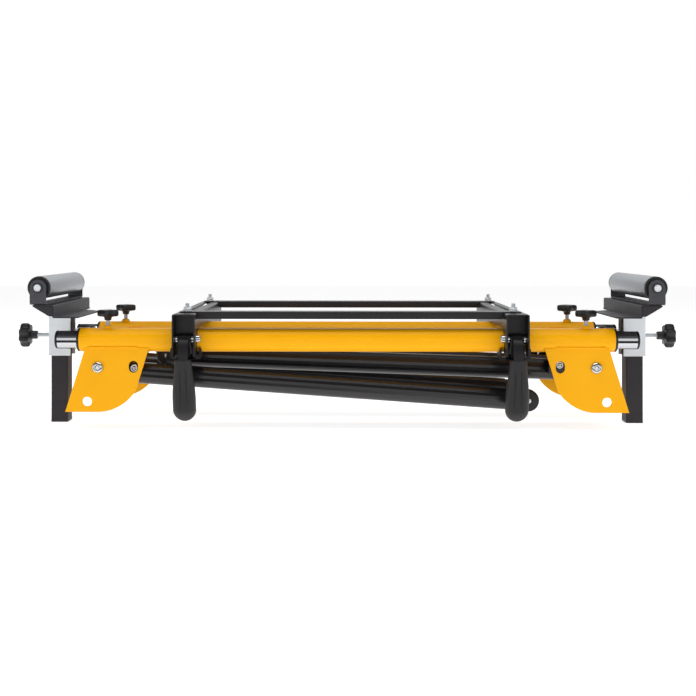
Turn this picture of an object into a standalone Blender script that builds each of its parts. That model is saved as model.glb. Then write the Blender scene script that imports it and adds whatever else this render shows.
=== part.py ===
"""Folding stand for a mitre saw, shown folded, standing on its two square posts.

Two round main tubes lie side by side along X. Chrome tubes slide out of both ends and carry a square post
with a roller. Fin plates under the main tubes hold four legs, folded under the beam. Two saddle brackets,
joined by two bars, ride on the main tubes and carry the saw.
The beam's own frame is centred between the main tubes, with Z zero under the posts. Metres, +Z up.
"""
import math

import bmesh
import bpy
from mathutils import Matrix, Vector

for old in list(bpy.data.objects):
    bpy.data.objects.remove(old, do_unlink=True)

# Fits
GAP = 0.0003
RUNNING_GAP = 0.0010
OVERRUN = 0.004
WELD_BITE = 0.0006
ROUND_SIDES = 24
SMALL_SIDES = 12
ARC_STEPS = 10
SLOT_STEPS = 6
CORNER_STEPS = 3
SHARP_DEG = 35
CROWN_SHARE = 0.6

# Main tubes of the beam
MAIN_RADIUS = 0.021
MAIN_WALL = 0.002
MAIN_HALF_LENGTH = 0.4715
MAIN_SPACING = 0.163
MAIN_Z = 0.157
MAIN_Y = MAIN_SPACING / 2
MAIN_BORE = MAIN_RADIUS - MAIN_WALL
MAIN_TOP = MAIN_Z + MAIN_RADIUS

# Cross ties between the main tubes
TIE_SET_IN = 0.0715
TIE_X = MAIN_HALF_LENGTH - TIE_SET_IN
TIE_WIDTH = 0.030
TIE_HEIGHT = 0.020
TIE_WALL = 0.002

# Plastic bushings in the ends of the main tubes
BUSHING_LENGTH = 0.030
BUSHING_FLANGE = 0.004

# Chrome extension tubes
EXT_RADIUS = 0.016
EXT_WALL = 0.0015
EXT_SHOWN = 0.0395
EXT_INNER_END = 0.070
EXT_OUTER_END = MAIN_HALF_LENGTH + EXT_SHOWN
EXT_LENGTH = EXT_OUTER_END - EXT_INNER_END

# Clamp screws, shared by all the knobs
SCREW_RADIUS = 0.004
SCREW_HOLE = SCREW_RADIUS + GAP

# Clamp knobs on top of the beam
KNOB_SET_IN = 0.048
KNOB_X = MAIN_HALF_LENGTH - KNOB_SET_IN
BOSS_FOOT_RADIUS = 0.0085
BOSS_TOP_RADIUS = 0.0060
BOSS_HEIGHT = 0.0046
TOP_KNOB_RADIUS = 0.019
TOP_KNOB_THICKNESS = 0.0135
TOP_KNOB_LOBES = 4
TOP_KNOB_SIDES = 24
TOP_KNOB_LOBE_SHARE = 0.30
TOP_KNOB_LIFT = 0.009
HUB_RADIUS = 0.0063
HUB_LENGTH = 0.005
KNOB_EDGE = 0.0025

# Fin plates, the leg brackets
FIN_THICKNESS = 0.003
FIN_Y = 0.096
FIN_ARC_RADIUS = 0.0785
FIN_SLANT_DEG = 17.2
FIN_OUTER_REACH = 0.033
FIN_EDGE_DEPTH = 0.00236
FIN_TUBE_LAP = 0.008
PIVOT_SET_IN = 0.0335
PIVOT_X = MAIN_HALF_LENGTH - PIVOT_SET_IN
PIVOT_Z = 0.1095
PIVOT_BOLT_RADIUS = 0.005
PIVOT_HEAD_RADIUS = 0.0103
PIVOT_HEAD_HEIGHT = 0.0055
PIVOT_NUT_RADIUS = 0.009
PIVOT_NUT_HEIGHT = 0.007
PIVOT_HOLE = PIVOT_BOLT_RADIUS + GAP
LOCK_SET_IN = 0.0155
LOCK_RADIUS = FIN_ARC_RADIUS - LOCK_SET_IN
LOCK_HOLE_RADIUS = 0.0085
LOCK_SLOT_HALF_WIDTH = 0.00825
LOCK_SLOT_HALF_HEIGHT = 0.0108

# Legs
LEG_RADIUS = 0.019
LEG_WALL = 0.0015
FOOT_TO_PIVOT = 0.114
LEG_LENGTH = 2 * PIVOT_X - FOOT_TO_PIVOT
LEG_HEAD = 0.015
LEG_SPLAY_DEG = 19.3
LEG_SIDE_GAP = 0.0012
WIDE_FOLD_DEG = 3.97
NARROW_FOLD_DEG = -2.0
WIDE_DROP = 0.0068
NARROW_DROP = 0.011
HINGE_CHANNEL_HALF_HEIGHT = 0.0135
HINGE_PAST_LOCK = 0.019
HINGE_CHANNEL_LENGTH = LOCK_RADIUS + HINGE_PAST_LOCK
HINGE_CHANNEL_WALL = 0.0025
BUTTON_RADIUS = 0.0062
BUTTON_LENGTH = 0.0155
BUTTON_DOME = 0.002
BUTTON_DOME_SHARE = 0.8
FOOT_RADIUS = 0.0195
FOOT_WIDTH = 0.022
FOOT_PLUG_LENGTH = 0.025
FOOT_EDGE = 0.002

# Square posts and their holders
POST_INNER_X = EXT_OUTER_END
POST_WIDTH = 0.031
POST_DEPTH = 0.035
POST_WALL = 0.002
POST_CORNER = 0.003
POST_FLOOR = 0.003
POST_TOP = 0.2185
HOLDER_WALL = 0.003
HOLDER_LOW = 0.122
HOLDER_HIGH = 0.1965
HOLDER_LIP = 0.005
ARM_WIDTH = 0.020
ARM_HEIGHT = 0.020

# Side knobs, which clamp the posts
SIDE_KNOB_Z = 0.1585
SIDE_KNOB_RADIUS = 0.0225
SIDE_KNOB_THICKNESS = 0.024
SIDE_KNOB_LOBES = 7
SIDE_KNOB_SIDES = 28
SIDE_KNOB_LOBE_SHARE = 0.16
SIDE_HUB_RADIUS = 0.0075
SIDE_HUB_LENGTH = 0.012
SIDE_SCREW_SHOWN = 0.0217

# Sheet trays on top of the posts
SHEET = 0.0025
TRAY_HALF_DEPTH = 0.1355
TRAY_WALL_SET_IN = 0.00475
TRAY_WALL_X = POST_INNER_X - TRAY_WALL_SET_IN
TRAY_PLATE_REACH = 0.03675
TRAY_LIP_REACH = 0.0425
TRAY_DROP = 0.0201
TRAY_GUSSET_TOE = 0.006
TRAY_GUSSET_DROP = 0.017

# Yokes and rollers
YOKE_SET_OUT = 0.023
YOKE_X = POST_INNER_X + YOKE_SET_OUT
YOKE_WIDTH = 0.028
YOKE_HALF_DEPTH = 0.135
ROLLER_RADIUS = 0.020
ROLLER_WALL = 0.0025
ROLLER_LIFT = 0.0269
ROLLER_END = 0.0075
ROLLER_STEP = 0.003
ROLLER_STEP_RADIUS = 0.0155
ROLLER_HOLE_RADIUS = 0.0025
ROLLER_HOLES = 3
AXLE_RADIUS = 0.004
AXLE_HEAD_RADIUS = 0.0065
AXLE_HEAD_HEIGHT = 0.005

# Saddle brackets
BRACKET_LEFT_SET_IN = 0.1898
BRACKET_RIGHT_SET_IN = 0.1761
BRACKET_LEFT_X = BRACKET_LEFT_SET_IN - MAIN_HALF_LENGTH
BRACKET_RIGHT_X = MAIN_HALF_LENGTH - BRACKET_RIGHT_SET_IN
BRACKET_WIDTH = 0.040
BRACKET_FRONT = 0.136
BRACKET_REAR = 0.285
BRACKET_TOP = 0.206
BRACKET_NOSE_LOW = 0.133
BRACKET_MIDDLE_LOW = 0.1515
BRACKET_CLAW_LOW = 0.140
BRACKET_CLAW_WIDTH = 0.016
BRACKET_TAIL_LOW = 0.182
BRACKET_SLOT_HALF_WIDTH = 0.005
SLOT_MARGIN = 0.012

# Cross bars of the saw mount
BAR_DEPTH = 0.035
BAR_HEIGHT = 0.013
BAR_SHEET = 0.002
BAR_FRONT_Y = -0.0825
BAR_REAR_Y = 0.254
BAR_TAB = 0.0115
BAR_BOLT_RADIUS = 0.004
BAR_NUT_RADIUS = 0.0075
BAR_NUT_HEIGHT = 0.0065
BAR_STUD_HEIGHT = 0.0075
BAR_BOLT_HEAD = 0.005

# Clamp levers and their hook jaws
LEVER_Y = -0.1175
LEVER_Z = 0.162
LEVER_WIDTH = 0.0165
LEVER_SHEET = 0.005
LEVER_EYE_RADIUS = 0.0085
STRAP_EYE_DEG = (-30, 200)
STRAP_BEND_SHARE = 0.75
STRAP_BELLY = 0.0075
LEVER_BOLT_RADIUS = 0.004
LEVER_BOLT_HEAD_RADIUS = 0.0062
LEVER_BOLT_HEAD = 0.006
LEVER_BUSH_RADIUS = 0.0068
GRIP_TOP = 0.127
GRIP_BOTTOM = 0.0225
GRIP_TOP_WIDTH = 0.027
GRIP_BOTTOM_WIDTH = 0.040
GRIP_THICKNESS = 0.024
GRIP_Y = -0.141
GRIP_EDGE = 0.005
GRIP_WAIST_SHARE = 0.62
GRIP_BEVEL_STEPS = 2
GRIP_BEVEL_DEG = 60
TANG_DEPTH = 0.035
JAW_WIDTH = 0.0545
JAW_SHEET = 0.0035
JAW_FRONT = 0.107
JAW_BACK = 0.070
JAW_LOW = 0.1247
JAW_FRONT_HIGH = 0.1466
JAW_CORNER = 0.006
JAW_EAR_SHEET = 0.003
JAW_EAR_WIDTH = 0.014
JAW_EYE_DEG = (0, 210)

# Where the middle of the main tubes lies, so that the whole stand is centred on its origin
STAND_FRONT = GRIP_Y - GRIP_THICKNESS / 2
BEAM_Y = -(STAND_FRONT + BRACKET_REAR) / 2

LEFT, RIGHT = -1, 1
FRONT, REAR = -1, 1
SIDE_NAMES = {LEFT: "left", RIGHT: "right"}
END_NAMES = {FRONT: "front", REAR: "rear"}

beam = bpy.data.objects.new("beam_frame", None)
beam.location = (0, BEAM_Y, 0)
bpy.context.collection.objects.link(beam)


def paint(name, colour, roughness, metallic):
    """One Principled material of a colour, roughness and metallic value."""
    material = bpy.data.materials.new(name)
    material.use_nodes = True
    shader = material.node_tree.nodes["Principled BSDF"]
    shader.inputs["Base Color"].default_value = (*colour, 1)
    shader.inputs["Roughness"].default_value = roughness
    shader.inputs["Metallic"].default_value = metallic
    material.diffuse_color = (*colour, 1)
    return material


YELLOW = paint("yellow_enamel", (0.92, 0.42, 0.01), 0.35, 0)
BLACK = paint("black_enamel", (0.022, 0.022, 0.025), 0.30, 0)
CHROME = paint("chrome", (0.80, 0.81, 0.83), 0.08, 1)
ZINC = paint("zinc_plate", (0.62, 0.65, 0.68), 0.35, 1)
GREY_STEEL = paint("grey_roller_steel", (0.33, 0.35, 0.37), 0.40, 1)
PLASTIC = paint("black_plastic", (0.018, 0.018, 0.02), 0.45, 0)
RUBBER = paint("black_rubber", (0.012, 0.012, 0.012), 0.8, 0)


def polar(radius, degrees):
    """The point at a radius and an angle from the first axis."""
    return radius * math.cos(math.radians(degrees)), radius * math.sin(math.radians(degrees))


def arc(centre, radius, start, end, steps=ARC_STEPS):
    """Points on an arc about a centre, from one angle to another in degrees."""
    points = []
    for step in range(steps + 1):
        a, b = polar(radius, start + (end - start) * step / steps)
        points.append((centre[0] + a, centre[1] + b))
    return points


def rounded(corners, radius, steps=CORNER_STEPS):
    """A closed outline with each corner replaced by an arc tangent to its two sides."""
    points = []
    for index, corner in enumerate(corners):
        here = Vector(corner)
        before = (Vector(corners[index - 1]) - here).normalized()
        after = (Vector(corners[(index + 1) % len(corners)]) - here).normalized()
        half = before.angle(after) / 2
        middle = here + (before + after).normalized() * radius / math.sin(half)
        start = here + before * radius / math.tan(half) - middle
        end = here + after * radius / math.tan(half) - middle
        turn = math.atan2(start.x * end.y - start.y * end.x, start.dot(end))
        for step in range(steps + 1):
            points.append(tuple(middle + Matrix.Rotation(turn * step / steps, 2) @ start))
    return points


def prism(outline, axis, low, high):
    """A solid with the outline's shape, extruded along an axis.

    The outline gives (y, z) for axis X, (x, z) for axis Y and (x, y) for axis Z.
    """
    mesh = bmesh.new()
    spots = {
        "X": lambda point, level: (level, point[0], point[1]),
        "Y": lambda point, level: (point[0], level, point[1]),
        "Z": lambda point, level: (point[0], point[1], level),
    }
    ends = [[mesh.verts.new(spots[axis](point, level)) for point in outline] for level in (low, high)]
    mesh.faces.new(ends[0])
    mesh.faces.new(reversed(ends[1]))
    for index in range(len(outline)):
        after = (index + 1) % len(outline)
        mesh.faces.new((ends[0][index], ends[1][index], ends[1][after], ends[0][after]))
    return mesh


def box(low, high):
    """A box between two corners."""
    outline = [(low[0], low[1]), (high[0], low[1]), (high[0], high[1]), (low[0], high[1])]
    return prism(outline, "Z", low[2], high[2])


def turned(rings, axis, centre, sides=ROUND_SIDES, lobes=0, hollow=False):
    """A solid of rings about an axis, each (place, radius) or (place, radius, lobe share).

    A ring's radius is drawn in between its lobes by the lobe share. A solid piece ends in a point at both
    ends, and a hollow one joins its last ring to its first.
    """
    mesh = bmesh.new()
    loops = []
    for ring in rings:
        place, radius = ring[:2]
        depth = ring[2] if len(ring) == 3 else 0
        loop = []
        for index in range(sides if radius > 0 else 1):
            angle = math.tau * index / sides
            reach = radius * (1 - depth * (1 - math.cos(lobes * angle)) / 2)
            a, b = reach * math.cos(angle), reach * math.sin(angle)
            spot = {"X": (place, a, b), "Y": (b, place, a), "Z": (a, b, place)}[axis]
            loop.append(mesh.verts.new(Vector(spot) + Vector(centre)))
        loops.append(loop)
    pairs = list(zip(loops, loops[1:] + loops[:1])) if hollow else list(zip(loops, loops[1:]))
    for one, two in pairs:
        for index in range(sides):
            after = (index + 1) % sides
            corners = [one[index % len(one)], one[after % len(one)]]
            corners += [two[after % len(two)], two[index % len(two)]]
            mesh.faces.new(list(dict.fromkeys(corners)))
    return mesh


def rod(axis, centre, radius, low, high, sides=ROUND_SIDES):
    """A solid round bar along an axis."""
    return turned([(low, 0), (low, radius), (high, radius), (high, 0)], axis, centre, sides)


def pipe(axis, centre, outer, inner, low, high, sides=ROUND_SIDES):
    """A round tube along an axis, open at both ends."""
    rings = [(low, inner), (low, outer), (high, outer), (high, inner)]
    return turned(rings, axis, centre, sides, hollow=True)


def node(name, mesh, material, origin=(0, 0, 0), parent=beam, smooth=True):
    """A finished piece: an object whose origin is given in its parent's frame, with its material."""
    bmesh.ops.recalc_face_normals(mesh, faces=mesh.faces)
    bmesh.ops.translate(mesh, verts=mesh.verts, vec=-Vector(origin))
    data = bpy.data.meshes.new(name)
    mesh.to_mesh(data)
    mesh.free()
    if smooth:
        data.shade_smooth()
        data.set_sharp_from_angle(angle=math.radians(SHARP_DEG))
    data.materials.append(material)
    piece = bpy.data.objects.new(name, data)
    piece.location = origin
    piece.parent = parent
    bpy.context.collection.objects.link(piece)
    return piece


def change(piece, mesh, operation):
    """A Boolean on a piece with another solid, given in the frame of the piece's parent."""
    name = f"{piece.name}_tool_{len(piece.modifiers) + 1}"
    tool = node(name, mesh, piece.active_material, piece.location, piece.parent)
    tool.hide_render = True
    tool.display_type = "WIRE"
    step = piece.modifiers.new(operation.lower(), "BOOLEAN")
    step.operation = operation
    step.solver = "EXACT"
    step.object = tool


def cut(piece, mesh):
    """Takes a solid out of a piece."""
    change(piece, mesh, "DIFFERENCE")


def weld(piece, mesh):
    """Joins a solid to a piece."""
    change(piece, mesh, "UNION")


# Main tubes, with a threaded boss for each clamp knob
BOSS_TOP = MAIN_TOP + BOSS_HEIGHT


def main_tube(end):
    """A long round tube, with a bored boss welded on near each end."""
    middle = (0, end * MAIN_Y, MAIN_Z)
    shell = pipe("X", middle, MAIN_RADIUS, MAIN_BORE, -MAIN_HALF_LENGTH, MAIN_HALF_LENGTH)
    tube = node(f"{END_NAMES[end]}_main_tube", shell, YELLOW)
    for side in (LEFT, RIGHT):
        spot = (side * KNOB_X, end * MAIN_Y, 0)
        low = MAIN_TOP - MAIN_WALL / 2
        weld(tube, turned([(low, 0), (low, BOSS_FOOT_RADIUS), (MAIN_TOP, BOSS_FOOT_RADIUS),
                           (BOSS_TOP, BOSS_TOP_RADIUS), (BOSS_TOP, 0)], "Z", spot, SMALL_SIDES))
        cut(tube, rod("Z", spot, SCREW_HOLE, MAIN_Z, BOSS_TOP + OVERRUN, SMALL_SIDES))


def cross_tie(side):
    """A short box tube, its ends coped to the main tubes, welded between them."""
    x = side * TIE_X
    reach = MAIN_Y - MAIN_RADIUS / 2
    low_z, high_z = MAIN_Z - TIE_HEIGHT / 2, MAIN_Z + TIE_HEIGHT / 2
    tie = node(f"{SIDE_NAMES[side]}_cross_tie",
               box((x - TIE_WIDTH / 2, -reach, low_z), (x + TIE_WIDTH / 2, reach, high_z)), YELLOW)
    cut(tie, box((x - TIE_WIDTH / 2 + TIE_WALL, -reach - OVERRUN, low_z + TIE_WALL),
                 (x + TIE_WIDTH / 2 - TIE_WALL, reach + OVERRUN, high_z - TIE_WALL)))
    for end in (FRONT, REAR):
        cut(tie, rod("X", (0, end * MAIN_Y, MAIN_Z), MAIN_RADIUS + GAP, x - TIE_WIDTH, x + TIE_WIDTH))


def end_bushing(side, end):
    """A flanged plastic sleeve in a main tube's end, in which the extension tube slides."""
    inner, outer = EXT_RADIUS + GAP, MAIN_BORE - GAP
    start = side * (MAIN_HALF_LENGTH - BUSHING_LENGTH)
    seat = side * (MAIN_HALF_LENGTH + GAP)
    face = seat + side * BUSHING_FLANGE
    edge = face - side * BUSHING_FLANGE / 2
    rings = [(start, inner), (start, outer), (seat, outer), (seat, MAIN_RADIUS), (edge, MAIN_RADIUS),
             (face, MAIN_RADIUS - BUSHING_FLANGE / 4), (face, inner)]
    node(f"{SIDE_NAMES[side]}_{END_NAMES[end]}_end_bushing",
         turned(rings, "X", (0, end * MAIN_Y, MAIN_Z), hollow=True), PLASTIC)


for end in (FRONT, REAR):
    main_tube(end)
for side in (LEFT, RIGHT):
    cross_tie(side)
    for end in (FRONT, REAR):
        end_bushing(side, end)


# Chrome extension tubes and the clamp knobs that hold them
def extension_tube(side, end):
    """A chrome tube, most of it inside the main tube."""
    ends = sorted((side * EXT_OUTER_END, side * (EXT_OUTER_END - EXT_LENGTH)))
    node(f"{SIDE_NAMES[side]}_{END_NAMES[end]}_extension_tube",
         pipe("X", (0, end * MAIN_Y, MAIN_Z), EXT_RADIUS, EXT_RADIUS - EXT_WALL, *ends), CHROME)


def knob_rings(tip, hub, head, top, head_radius, hub_radius, lobe_share):
    """Rings of a clamp knob: its screw from the tip, its hub, and its lobed head with broken edges."""
    edge = math.copysign(KNOB_EDGE, top - head)
    return [(tip, 0), (tip, SCREW_RADIUS), (hub, SCREW_RADIUS), (hub, hub_radius), (head, hub_radius),
            (head, head_radius - KNOB_EDGE, lobe_share), (head + edge, head_radius, lobe_share),
            (top - edge, head_radius, lobe_share), (top, head_radius - KNOB_EDGE, lobe_share), (top, 0)]


def top_knob(side, end):
    """A lobed knob whose screw goes down through the boss and presses on the chrome tube."""
    spot = (side * KNOB_X, end * MAIN_Y, 0)
    tip = MAIN_Z + EXT_RADIUS + GAP
    hub = BOSS_TOP + TOP_KNOB_LIFT
    rings = knob_rings(tip, hub, hub + HUB_LENGTH, hub + HUB_LENGTH + TOP_KNOB_THICKNESS,
                       TOP_KNOB_RADIUS, HUB_RADIUS, TOP_KNOB_LOBE_SHARE)
    node(f"{SIDE_NAMES[side]}_{END_NAMES[end]}_clamp_knob",
         turned(rings, "Z", spot, TOP_KNOB_SIDES, TOP_KNOB_LOBES), PLASTIC, (spot[0], spot[1], tip))


for side in (LEFT, RIGHT):
    for end in (FRONT, REAR):
        extension_tube(side, end)
        top_knob(side, end)


# Fin plates: an arc about the leg's pivot, between two slanted edges
BUTTON_LEAD_DEG = LEG_SPLAY_DEG - FIN_SLANT_DEG
WIDE_BUTTON_DEG = BUTTON_LEAD_DEG - WIDE_FOLD_DEG
NARROW_BUTTON_DEG = BUTTON_LEAD_DEG - NARROW_FOLD_DEG
SLOT_DEG = (WIDE_BUTTON_DEG + NARROW_BUTTON_DEG) / 2
FIN_HIGH = MAIN_Z - MAIN_RADIUS + FIN_TUBE_LAP


def fin_outline(side):
    """The plate seen from the front, from the top of its outer edge round to the top of its inner edge."""
    slant = math.radians(FIN_SLANT_DEG)
    slope = math.tan(slant)
    edge = FIN_ARC_RADIUS - FIN_EDGE_DEPTH
    outboard, inboard = side, -side
    pivot = (side * PIVOT_X, PIVOT_Z)
    rise = FIN_HIGH - PIVOT_Z
    arc_end = -math.degrees(math.acos(edge / FIN_ARC_RADIUS)) - FIN_SLANT_DEG
    sweep = [(pivot[0] + inboard * (x - pivot[0]), z) for x, z in arc(pivot, FIN_ARC_RADIUS, -90, arc_end)]
    outer_low = (pivot[0] + outboard * (FIN_OUTER_REACH + FIN_ARC_RADIUS * slope), PIVOT_Z - FIN_ARC_RADIUS)
    outer_high = (pivot[0] + outboard * (FIN_OUTER_REACH - rise * slope), FIN_HIGH)
    inner_high = (pivot[0] + inboard * (edge / math.cos(slant) + rise * slope), FIN_HIGH)
    return [outer_high, outer_low, *sweep, inner_high]


def fin(side, end):
    """A plate under the main tube, with the leg's pivot hole, a lock hole and the slot seen when folded."""
    pivot = (side * PIVOT_X, 0, PIVOT_Z)
    faces = sorted((end * FIN_Y, end * (FIN_Y + FIN_THICKNESS)))
    plate = node(f"{SIDE_NAMES[side]}_{END_NAMES[end]}_fin", prism(fin_outline(side), "Y", *faces), YELLOW)
    past = (faces[0] - OVERRUN, faces[1] + OVERRUN)
    cut(plate, rod("X", (0, end * MAIN_Y, MAIN_Z), MAIN_RADIUS + GAP, -MAIN_HALF_LENGTH, MAIN_HALF_LENGTH))
    cut(plate, rod("Y", pivot, PIVOT_HOLE, *past, SMALL_SIDES))
    x, z = polar(LOCK_RADIUS, -90 - FIN_SLANT_DEG)
    cut(plate, rod("Y", (pivot[0] - side * x, 0, PIVOT_Z + z), LOCK_HOLE_RADIUS, *past, SMALL_SIDES))
    x, z = polar(LOCK_RADIUS, SLOT_DEG)
    middle = (pivot[0] - side * x, PIVOT_Z + z)
    half = LOCK_SLOT_HALF_HEIGHT - LOCK_SLOT_HALF_WIDTH
    slot = arc((middle[0], middle[1] + half), LOCK_SLOT_HALF_WIDTH, 0, 180, SLOT_STEPS)
    slot += arc((middle[0], middle[1] - half), LOCK_SLOT_HALF_WIDTH, 180, 360, SLOT_STEPS)
    cut(plate, prism(slot, "Y", *past))


# Legs: the left pair is wide, and the right pair folds between it
WIDE_LEG_Y = FIN_Y - RUNNING_GAP - LEG_RADIUS
NARROW_LEG_Y = WIDE_LEG_Y - 2 * LEG_RADIUS - LEG_SIDE_GAP
LEG_Y = {LEFT: WIDE_LEG_Y, RIGHT: NARROW_LEG_Y}
LEG_DROP = {LEFT: WIDE_DROP, RIGHT: NARROW_DROP}
LEG_FOLD_DEG = {LEFT: WIDE_FOLD_DEG, RIGHT: -NARROW_FOLD_DEG}
HINGE_FACE_Y = FIN_Y - RUNNING_GAP


def pivot_bolt(side, end):
    """A bolt through the fin and both walls of the leg, with its nut inside."""
    head = end * (FIN_Y + FIN_THICKNESS + GAP)
    top = head + end * PIVOT_HEAD_HEIGHT
    nut = end * (LEG_Y[side] - LEG_RADIUS - GAP)
    tail = nut - end * PIVOT_NUT_HEIGHT
    rings = [(top, 0), (top, PIVOT_HEAD_RADIUS * CROWN_SHARE),
             (top - end * PIVOT_HEAD_HEIGHT / 2, PIVOT_HEAD_RADIUS), (head, PIVOT_HEAD_RADIUS),
             (head, PIVOT_BOLT_RADIUS), (nut, PIVOT_BOLT_RADIUS), (nut, PIVOT_NUT_RADIUS),
             (tail, PIVOT_NUT_RADIUS), (tail, 0)]
    node(f"{SIDE_NAMES[side]}_{END_NAMES[end]}_leg_pivot_bolt",
         turned(rings, "Y", (side * PIVOT_X, 0, PIVOT_Z), SMALL_SIDES), CHROME)


def leg_arm(side, end):
    """An empty on the leg's hinge, turned so that its X runs parallel to the folded leg."""
    arm = bpy.data.objects.new(f"{SIDE_NAMES[side]}_{END_NAMES[end]}_leg_hinge", None)
    arm.parent = beam
    arm.location = (side * PIVOT_X, 0, PIVOT_Z)
    arm.rotation_euler = (0, math.radians(LEG_FOLD_DEG[side]), 0)
    bpy.context.collection.objects.link(arm)
    return arm


def leg(side, end, arm):
    """A round tube, hung below its pivot hole. The narrow one has a channel that reaches its fin."""
    way = -side
    y = end * LEG_Y[side]
    middle = (0, y, -LEG_DROP[side])
    ends = sorted((-way * LEG_HEAD, way * (LEG_LENGTH - FOOT_RADIUS)))
    tube = node(f"{SIDE_NAMES[side]}_{END_NAMES[end]}_leg",
                pipe("X", middle, LEG_RADIUS, LEG_RADIUS - LEG_WALL, *ends), BLACK, parent=arm)
    face = end * HINGE_FACE_Y
    button_x, button_z = polar(LOCK_RADIUS, BUTTON_LEAD_DEG)
    if side == RIGHT:
        weld(tube, hinge_channel(way, end, face, y))
    reach = sorted((y - end * (LEG_RADIUS + OVERRUN), face + end * OVERRUN))
    cut(tube, rod("Y", (0, 0, 0), PIVOT_HOLE, *reach, SMALL_SIDES))
    deep = sorted((face - end * (BUTTON_LENGTH + OVERRUN), face + end * OVERRUN))
    cut(tube, rod("Y", (way * button_x, 0, button_z), BUTTON_RADIUS + GAP, *deep, SMALL_SIDES))


def hinge_channel(way, end, face, leg_y):
    """A channel on the narrow leg's outer side: its web beside the fin, its flanges welded to the tube."""
    high, wall = HINGE_CHANNEL_HALF_HEIGHT, HINGE_CHANNEL_WALL
    root = leg_y + end * (LEG_RADIUS - LEG_WALL) / 2
    low_x, high_x = sorted((-way * LEG_HEAD, way * HINGE_CHANNEL_LENGTH))
    section = [(root, -high), (face, -high), (face, high), (root, high),
               (root, high - wall), (face - end * wall, high - wall),
               (face - end * wall, wall - high), (root, wall - high)]
    return prism(section, "X", low_x, high_x)


def snap_button(side, end, arm):
    """A sprung pin with a domed tip, which locks the leg in its fin. It is drawn pressed in."""
    way = -side
    x, z = polar(LOCK_RADIUS, BUTTON_LEAD_DEG)
    tip = end * (FIN_Y - GAP)
    base = tip - end * (BUTTON_LENGTH + BUTTON_DOME)
    rings = [(base, 0), (base, BUTTON_RADIUS), (tip - end * BUTTON_DOME, BUTTON_RADIUS),
             (tip - end * BUTTON_DOME / 3, BUTTON_RADIUS * BUTTON_DOME_SHARE), (tip, 0)]
    spot = (way * x, 0, z)
    node(f"{SIDE_NAMES[side]}_{END_NAMES[end]}_snap_button",
         turned(rings, "Y", spot, SMALL_SIDES), CHROME, (spot[0], base, spot[2]), arm)


def foot(side, end, arm):
    """A rubber disc on edge at the leg's end, with a round plug in the tube."""
    way = -side
    y = end * LEG_Y[side]
    x = way * LEG_LENGTH
    half = FOOT_WIDTH / 2
    rings = [(-half, 0), (-half, FOOT_RADIUS - FOOT_EDGE), (FOOT_EDGE - half, FOOT_RADIUS),
             (half - FOOT_EDGE, FOOT_RADIUS), (half, FOOT_RADIUS - FOOT_EDGE), (half, 0)]
    disc = node(f"{SIDE_NAMES[side]}_{END_NAMES[end]}_foot",
                turned(rings, "Y", (x, y, -LEG_DROP[side])), RUBBER, parent=arm)
    plug = sorted((x, x - way * (FOOT_RADIUS + FOOT_PLUG_LENGTH)))
    weld(disc, rod("X", (0, y, -LEG_DROP[side]), LEG_RADIUS - LEG_WALL - GAP, *plug, SMALL_SIDES))


for side in (LEFT, RIGHT):
    for end in (FRONT, REAR):
        fin(side, end)
        pivot_bolt(side, end)
        arm = leg_arm(side, end)
        leg(side, end, arm)
        snap_button(side, end, arm)
        foot(side, end, arm)


# Posts, their holders and the side knobs
POST_OUTER_X = POST_INNER_X + POST_WIDTH
HOLDER_HALF_DEPTH = POST_DEPTH / 2 + GAP + HOLDER_WALL
HOLDER_OUTER_X = POST_OUTER_X + GAP + HOLDER_WALL
POST_X = POST_INNER_X + POST_WIDTH / 2


def post_holder(side):
    """A U of thick sheet, open inboard, welded to an arm that joins the two chrome tubes."""
    lip_x = POST_INNER_X - HOLDER_LIP
    wall = HOLDER_WALL
    deep = HOLDER_HALF_DEPTH
    web_x = HOLDER_OUTER_X - wall
    section = [(lip_x, -deep), (HOLDER_OUTER_X, -deep), (HOLDER_OUTER_X, deep), (lip_x, deep),
               (lip_x, deep - wall), (web_x, deep - wall), (web_x, wall - deep), (lip_x, wall - deep)]
    section = [(side * x, y) for x, y in section]
    holder = node(f"{SIDE_NAMES[side]}_post_holder", prism(section, "Z", HOLDER_LOW, HOLDER_HIGH), ZINC)
    arm_face = POST_INNER_X - GAP
    low_x, high_x = sorted((side * arm_face, side * (arm_face - ARM_WIDTH)))
    reach = MAIN_Y - EXT_RADIUS / 2
    weld(holder, box((low_x, -reach, MAIN_Z - ARM_HEIGHT / 2), (high_x, reach, MAIN_Z + ARM_HEIGHT / 2)))
    past = (low_x - OVERRUN, high_x + OVERRUN)
    for end in (FRONT, REAR):
        cut(holder, rod("X", (0, end * MAIN_Y, MAIN_Z), EXT_RADIUS + GAP, *past))
    web = sorted((side * (web_x - OVERRUN), side * (HOLDER_OUTER_X + OVERRUN)))
    cut(holder, rod("X", (0, 0, SIDE_KNOB_Z), SCREW_HOLE, *web, SMALL_SIDES))


def post(side):
    """A square tube, open at the top, with a foot plate closing its lower end."""
    half_x, half_y = POST_WIDTH / 2, POST_DEPTH / 2
    x = side * POST_X
    corners = [(x - half_x, -half_y), (x + half_x, -half_y), (x + half_x, half_y), (x - half_x, half_y)]
    shell = prism(rounded(corners, POST_CORNER), "Z", 0, POST_TOP)
    tube = node(f"{SIDE_NAMES[side]}_post", shell, BLACK, (x, 0, 0))
    cut(tube, box((x - half_x + POST_WALL, POST_WALL - half_y, POST_FLOOR),
                  (x + half_x - POST_WALL, half_y - POST_WALL, POST_TOP + OVERRUN)))


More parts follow.
